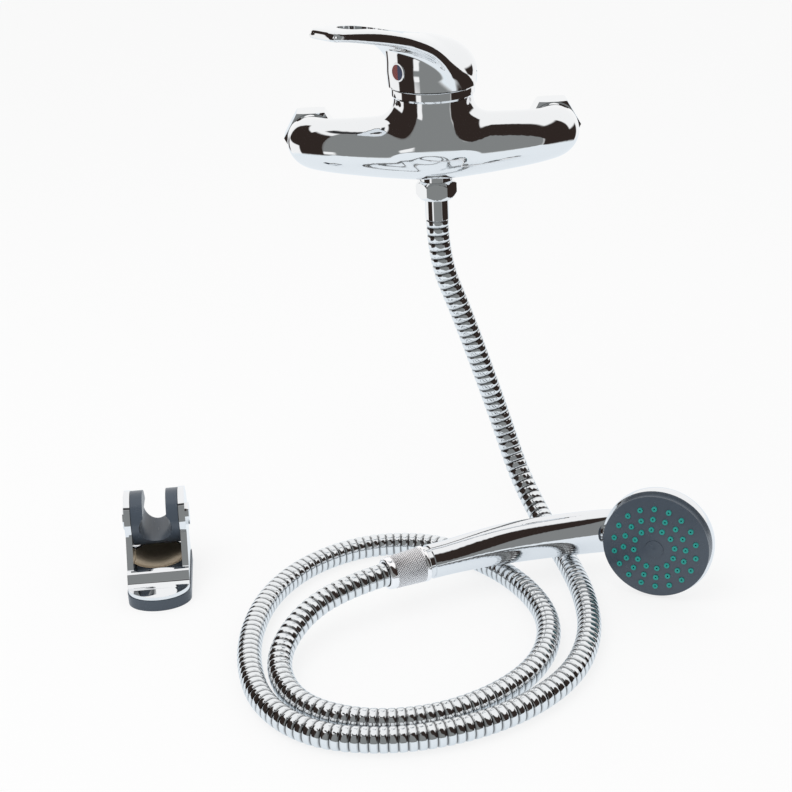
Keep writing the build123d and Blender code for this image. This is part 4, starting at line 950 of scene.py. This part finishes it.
class TAP_OT_bracket(bpy.types.Operator):
    """Gives the bracket's plated cover a clean shell, its edges eased as far as its short faces allow"""
    bl_idname = "tap.bracket"
    bl_label = "Bracket cover"

    def execute(self, context):
        bm = read_mesh(NODES["bracket_cover"].data)
        bmesh.ops.remove_doubles(bm, verts=bm.verts, dist=COVER_WELD)
        bmesh.ops.dissolve_limit(bm, angle_limit=FLAT_ANGLE, verts=bm.verts, edges=bm.edges)
        edges = [e for e in bm.edges if len(e.link_faces) == 2 and e.calc_face_angle() > EDGE_ANGLE]
        bmesh.ops.bevel(bm, geom=edges, offset=EDGE_WIDTH, segments=3, profile=0.5, affect="EDGES",
                        clamp_overlap=True)
        outwards(bm)
        for face in bm.faces:
            face.smooth = True
        raw = write_mesh(bm, "bracket_raw")
        raw.set_sharp_from_angle(angle=COVER_SHARP)
        mesh = modified(raw, "bracket_shell", "WEIGHTED_NORMAL", weight=100, keep_sharp=True)
        keep_mesh("bracket_shell", mesh, "root", bracket_chrome_with_painted_bowl_reflection(),
                  replaces=["bracket_cover"])
        return {"FINISHED"}


class TAP_OT_finishes(bpy.types.Operator):
    """Gives each CAD node listed in model.json the finish of its material slot, where the script has one"""
    bl_idname = "tap.finishes"
    bl_label = "Finishes"

    def execute(self, context):
        made = {}
        for row in frame["record"]["subparts"]:
            piece, slot = NODES[row["node"]], row["material_slot"]
            if slot not in FINISHES:
                continue
            if slot not in made:
                made[slot] = FINISHES[slot]()
            if not piece.material_slots:
                piece.data.materials.append(made[slot])
            for holder in piece.material_slots:
                holder.link = "OBJECT"
                holder.material = made[slot]
        return {"FINISHED"}


def studio_world():
    """White studio round the object, with the grey and dark areas that bright metal mirrors."""
    world = bpy.data.worlds.new("studio")
    bpy.context.scene.world = world
    world.use_nodes = True
    tree = world.node_tree
    tree.nodes.clear()
    x, y, z = split(tree, tree.nodes.new("ShaderNodeTexCoord").outputs["Generated"])
    level = math_node(tree, "DEGREES", math_node(tree, "ARCSINE", z))
    side = math_node(tree, "DEGREES", math_node(tree, "ARCTAN2", x, product(tree, y, -1.0)))
    color = WHITE
    for azimuth, elevation, shade, side_soft, level_soft in MIRRORED:
        mask = product(tree, band(tree, side, *azimuth, side_soft), band(tree, level, *elevation, level_soft))
        color = blend(tree, mask, color, (*shade, 1))
    slant = math_node(tree, "ADD", level, product(tree, side, SLANT))
    wedge = product(tree, ramp_between(tree, slant, SLANT_FROM, SLANT_TO), band(tree, side, *SLANT_SIDE),
                    band(tree, level, *SLANT_LEVEL))
    color = blend(tree, wedge, color, (*DARK_ROOM, 1))
    path = tree.nodes.new("ShaderNodeLightPath").outputs
    lit = glow(tree, "Background", WHITE, ROOM_LIGHT)
    mirror = mix_shaders(tree, path["Is Glossy Ray"], lit, glow(tree, "Background", color))
    seen = mix_shaders(tree, path["Is Camera Ray"], mirror, glow(tree, "Background", WHITE))
    tree.links.new(seen, tree.nodes.new("ShaderNodeOutputWorld").inputs["Surface"])


def floor_finish(color):
    """Pale floor, white to the camera but for soft shadows. Bright metal sees paper there, then the room."""
    material, tree, shader = start_material("studio floor")
    feed(tree, shader, Base_Color=(*color, 1), Roughness=0.9)
    east, north = split(tree, object_vector(tree))[:2]
    front = math_node(tree, "SUBTRACT", north, product(tree, east, PAPER_LEAN))
    sheet = product(tree, ramp_between(tree, front, PAPER_FRONT - PAPER_SOFT, PAPER_FRONT + PAPER_SOFT),
                    band(tree, east, PAPER_LEFT, PAPER_RIGHT, PAPER_SOFT))
    room = mix_shaders(tree, sheet, tree.nodes.new("ShaderNodeBsdfTransparent").outputs[0],
                       glow(tree, "Emission", PAPER_TONE))
    path = tree.nodes.new("ShaderNodeLightPath").outputs
    seen = mix_shaders(tree, product(tree, path["Is Camera Ray"], FLOOR_WHITE), shader.outputs[0],
                       glow(tree, "Emission", WHITE))
    share = math_node(tree, "SUBTRACT", 1.0, product(tree, sheet, PAPER_CLEAR))
    mirror = mix_shaders(tree, product(tree, path["Is Glossy Ray"], share), seen, room)
    tree.links.new(mirror, tree.nodes["Material Output"].inputs["Surface"])
    return material


class TAP_OT_stage(bpy.types.Operator):
    """Sets the floor, the light and the camera"""
    bl_idname = "tap.stage"
    bl_label = "Stage"

    def execute(self, context):
        scene = context.scene
        look = scene.tap_studio
        scene.view_settings.view_transform = "Standard"
        mesh = bpy.data.meshes.new("floor")
        corners = [(x * FLOOR_HALF, y * FLOOR_HALF, FLOOR_Z) for x, y in ((-1, -1), (1, -1), (1, 1), (-1, 1))]
        mesh.from_pydata(corners, [], [(0, 1, 2, 3)])
        mesh.materials.append(floor_finish(look.floor))
        place_object("floor", mesh)
        lamp = bpy.data.lights.new("key", "AREA")
        lamp.energy = look.key
        lamp.shape = "RECTANGLE"
        lamp.size, lamp.size_y = LAMP_SIZE
        key = place_object("key", lamp)
        key.matrix_world = axis_matrix(LAMP_PLACE, LAMP_WAY)
        key.visible_glossy = False
        studio_world()
        rise = Vector((0, math.sin(CAMERA_PITCH), math.cos(CAMERA_PITCH)))
        ahead = Vector((0, math.cos(CAMERA_PITCH), -math.sin(CAMERA_PITCH)))
        level = Vector((1, 0, 0))
        right = level * math.cos(CAMERA_ROLL) - rise * math.sin(CAMERA_ROLL)
        up = level * math.sin(CAMERA_ROLL) + rise * math.cos(CAMERA_ROLL)
        view = bpy.data.cameras.new("view")
        view.lens, view.sensor_width = CAMERA_LENS, 36.0
        view.clip_start, view.clip_end = 0.05, 30.0
        camera = place_object("view", view)
        turn = Matrix((right, up, -ahead)).transposed().to_4x4()
        camera.matrix_world = Matrix.Translation(CAMERA_PLACE) @ turn
        scene.camera = camera
        return {"FINISHED"}


class TAP_PT_panel(bpy.types.Panel):
    bl_idname = "TAP_PT_panel"
    bl_label = "Shower mixer"
    bl_space_type = "VIEW_3D"
    bl_region_type = "UI"
    bl_category = "Shower mixer"

    def draw(self, context):
        column = self.layout.column()
        for holder in (context.scene.tap_hose, context.scene.tap_studio):
            for label in holder.__annotations__:
                column.prop(holder, label)
        for step in STEPS:
            column.operator(step.bl_idname)


STEPS = (TAP_OT_stage, TAP_OT_finishes, TAP_OT_hose, TAP_OT_body, TAP_OT_lever, TAP_OT_outlet_nut,
         TAP_OT_grip_nut, TAP_OT_bracket)
CLASSES = (HoseSizes, StudioLook, *STEPS, TAP_PT_panel)


def register():
    for cls in CLASSES:
        bpy.utils.register_class(cls)
    bpy.types.Scene.tap_hose = PointerProperty(type=HoseSizes)
    bpy.types.Scene.tap_studio = PointerProperty(type=StudioLook)


def unregister():
    del bpy.types.Scene.tap_studio
    del bpy.types.Scene.tap_hose
    for cls in reversed(CLASSES):
        bpy.utils.unregister_class(cls)


def main():
    register()
    bpy.ops.tap.stage()
    bpy.ops.tap.finishes()
    bpy.ops.tap.hose()
    bpy.ops.tap.body()
    bpy.ops.tap.lever()
    bpy.ops.tap.outlet_nut()
    bpy.ops.tap.grip_nut()
    bpy.ops.tap.bracket()


if __name__ == "__main__":
    main()
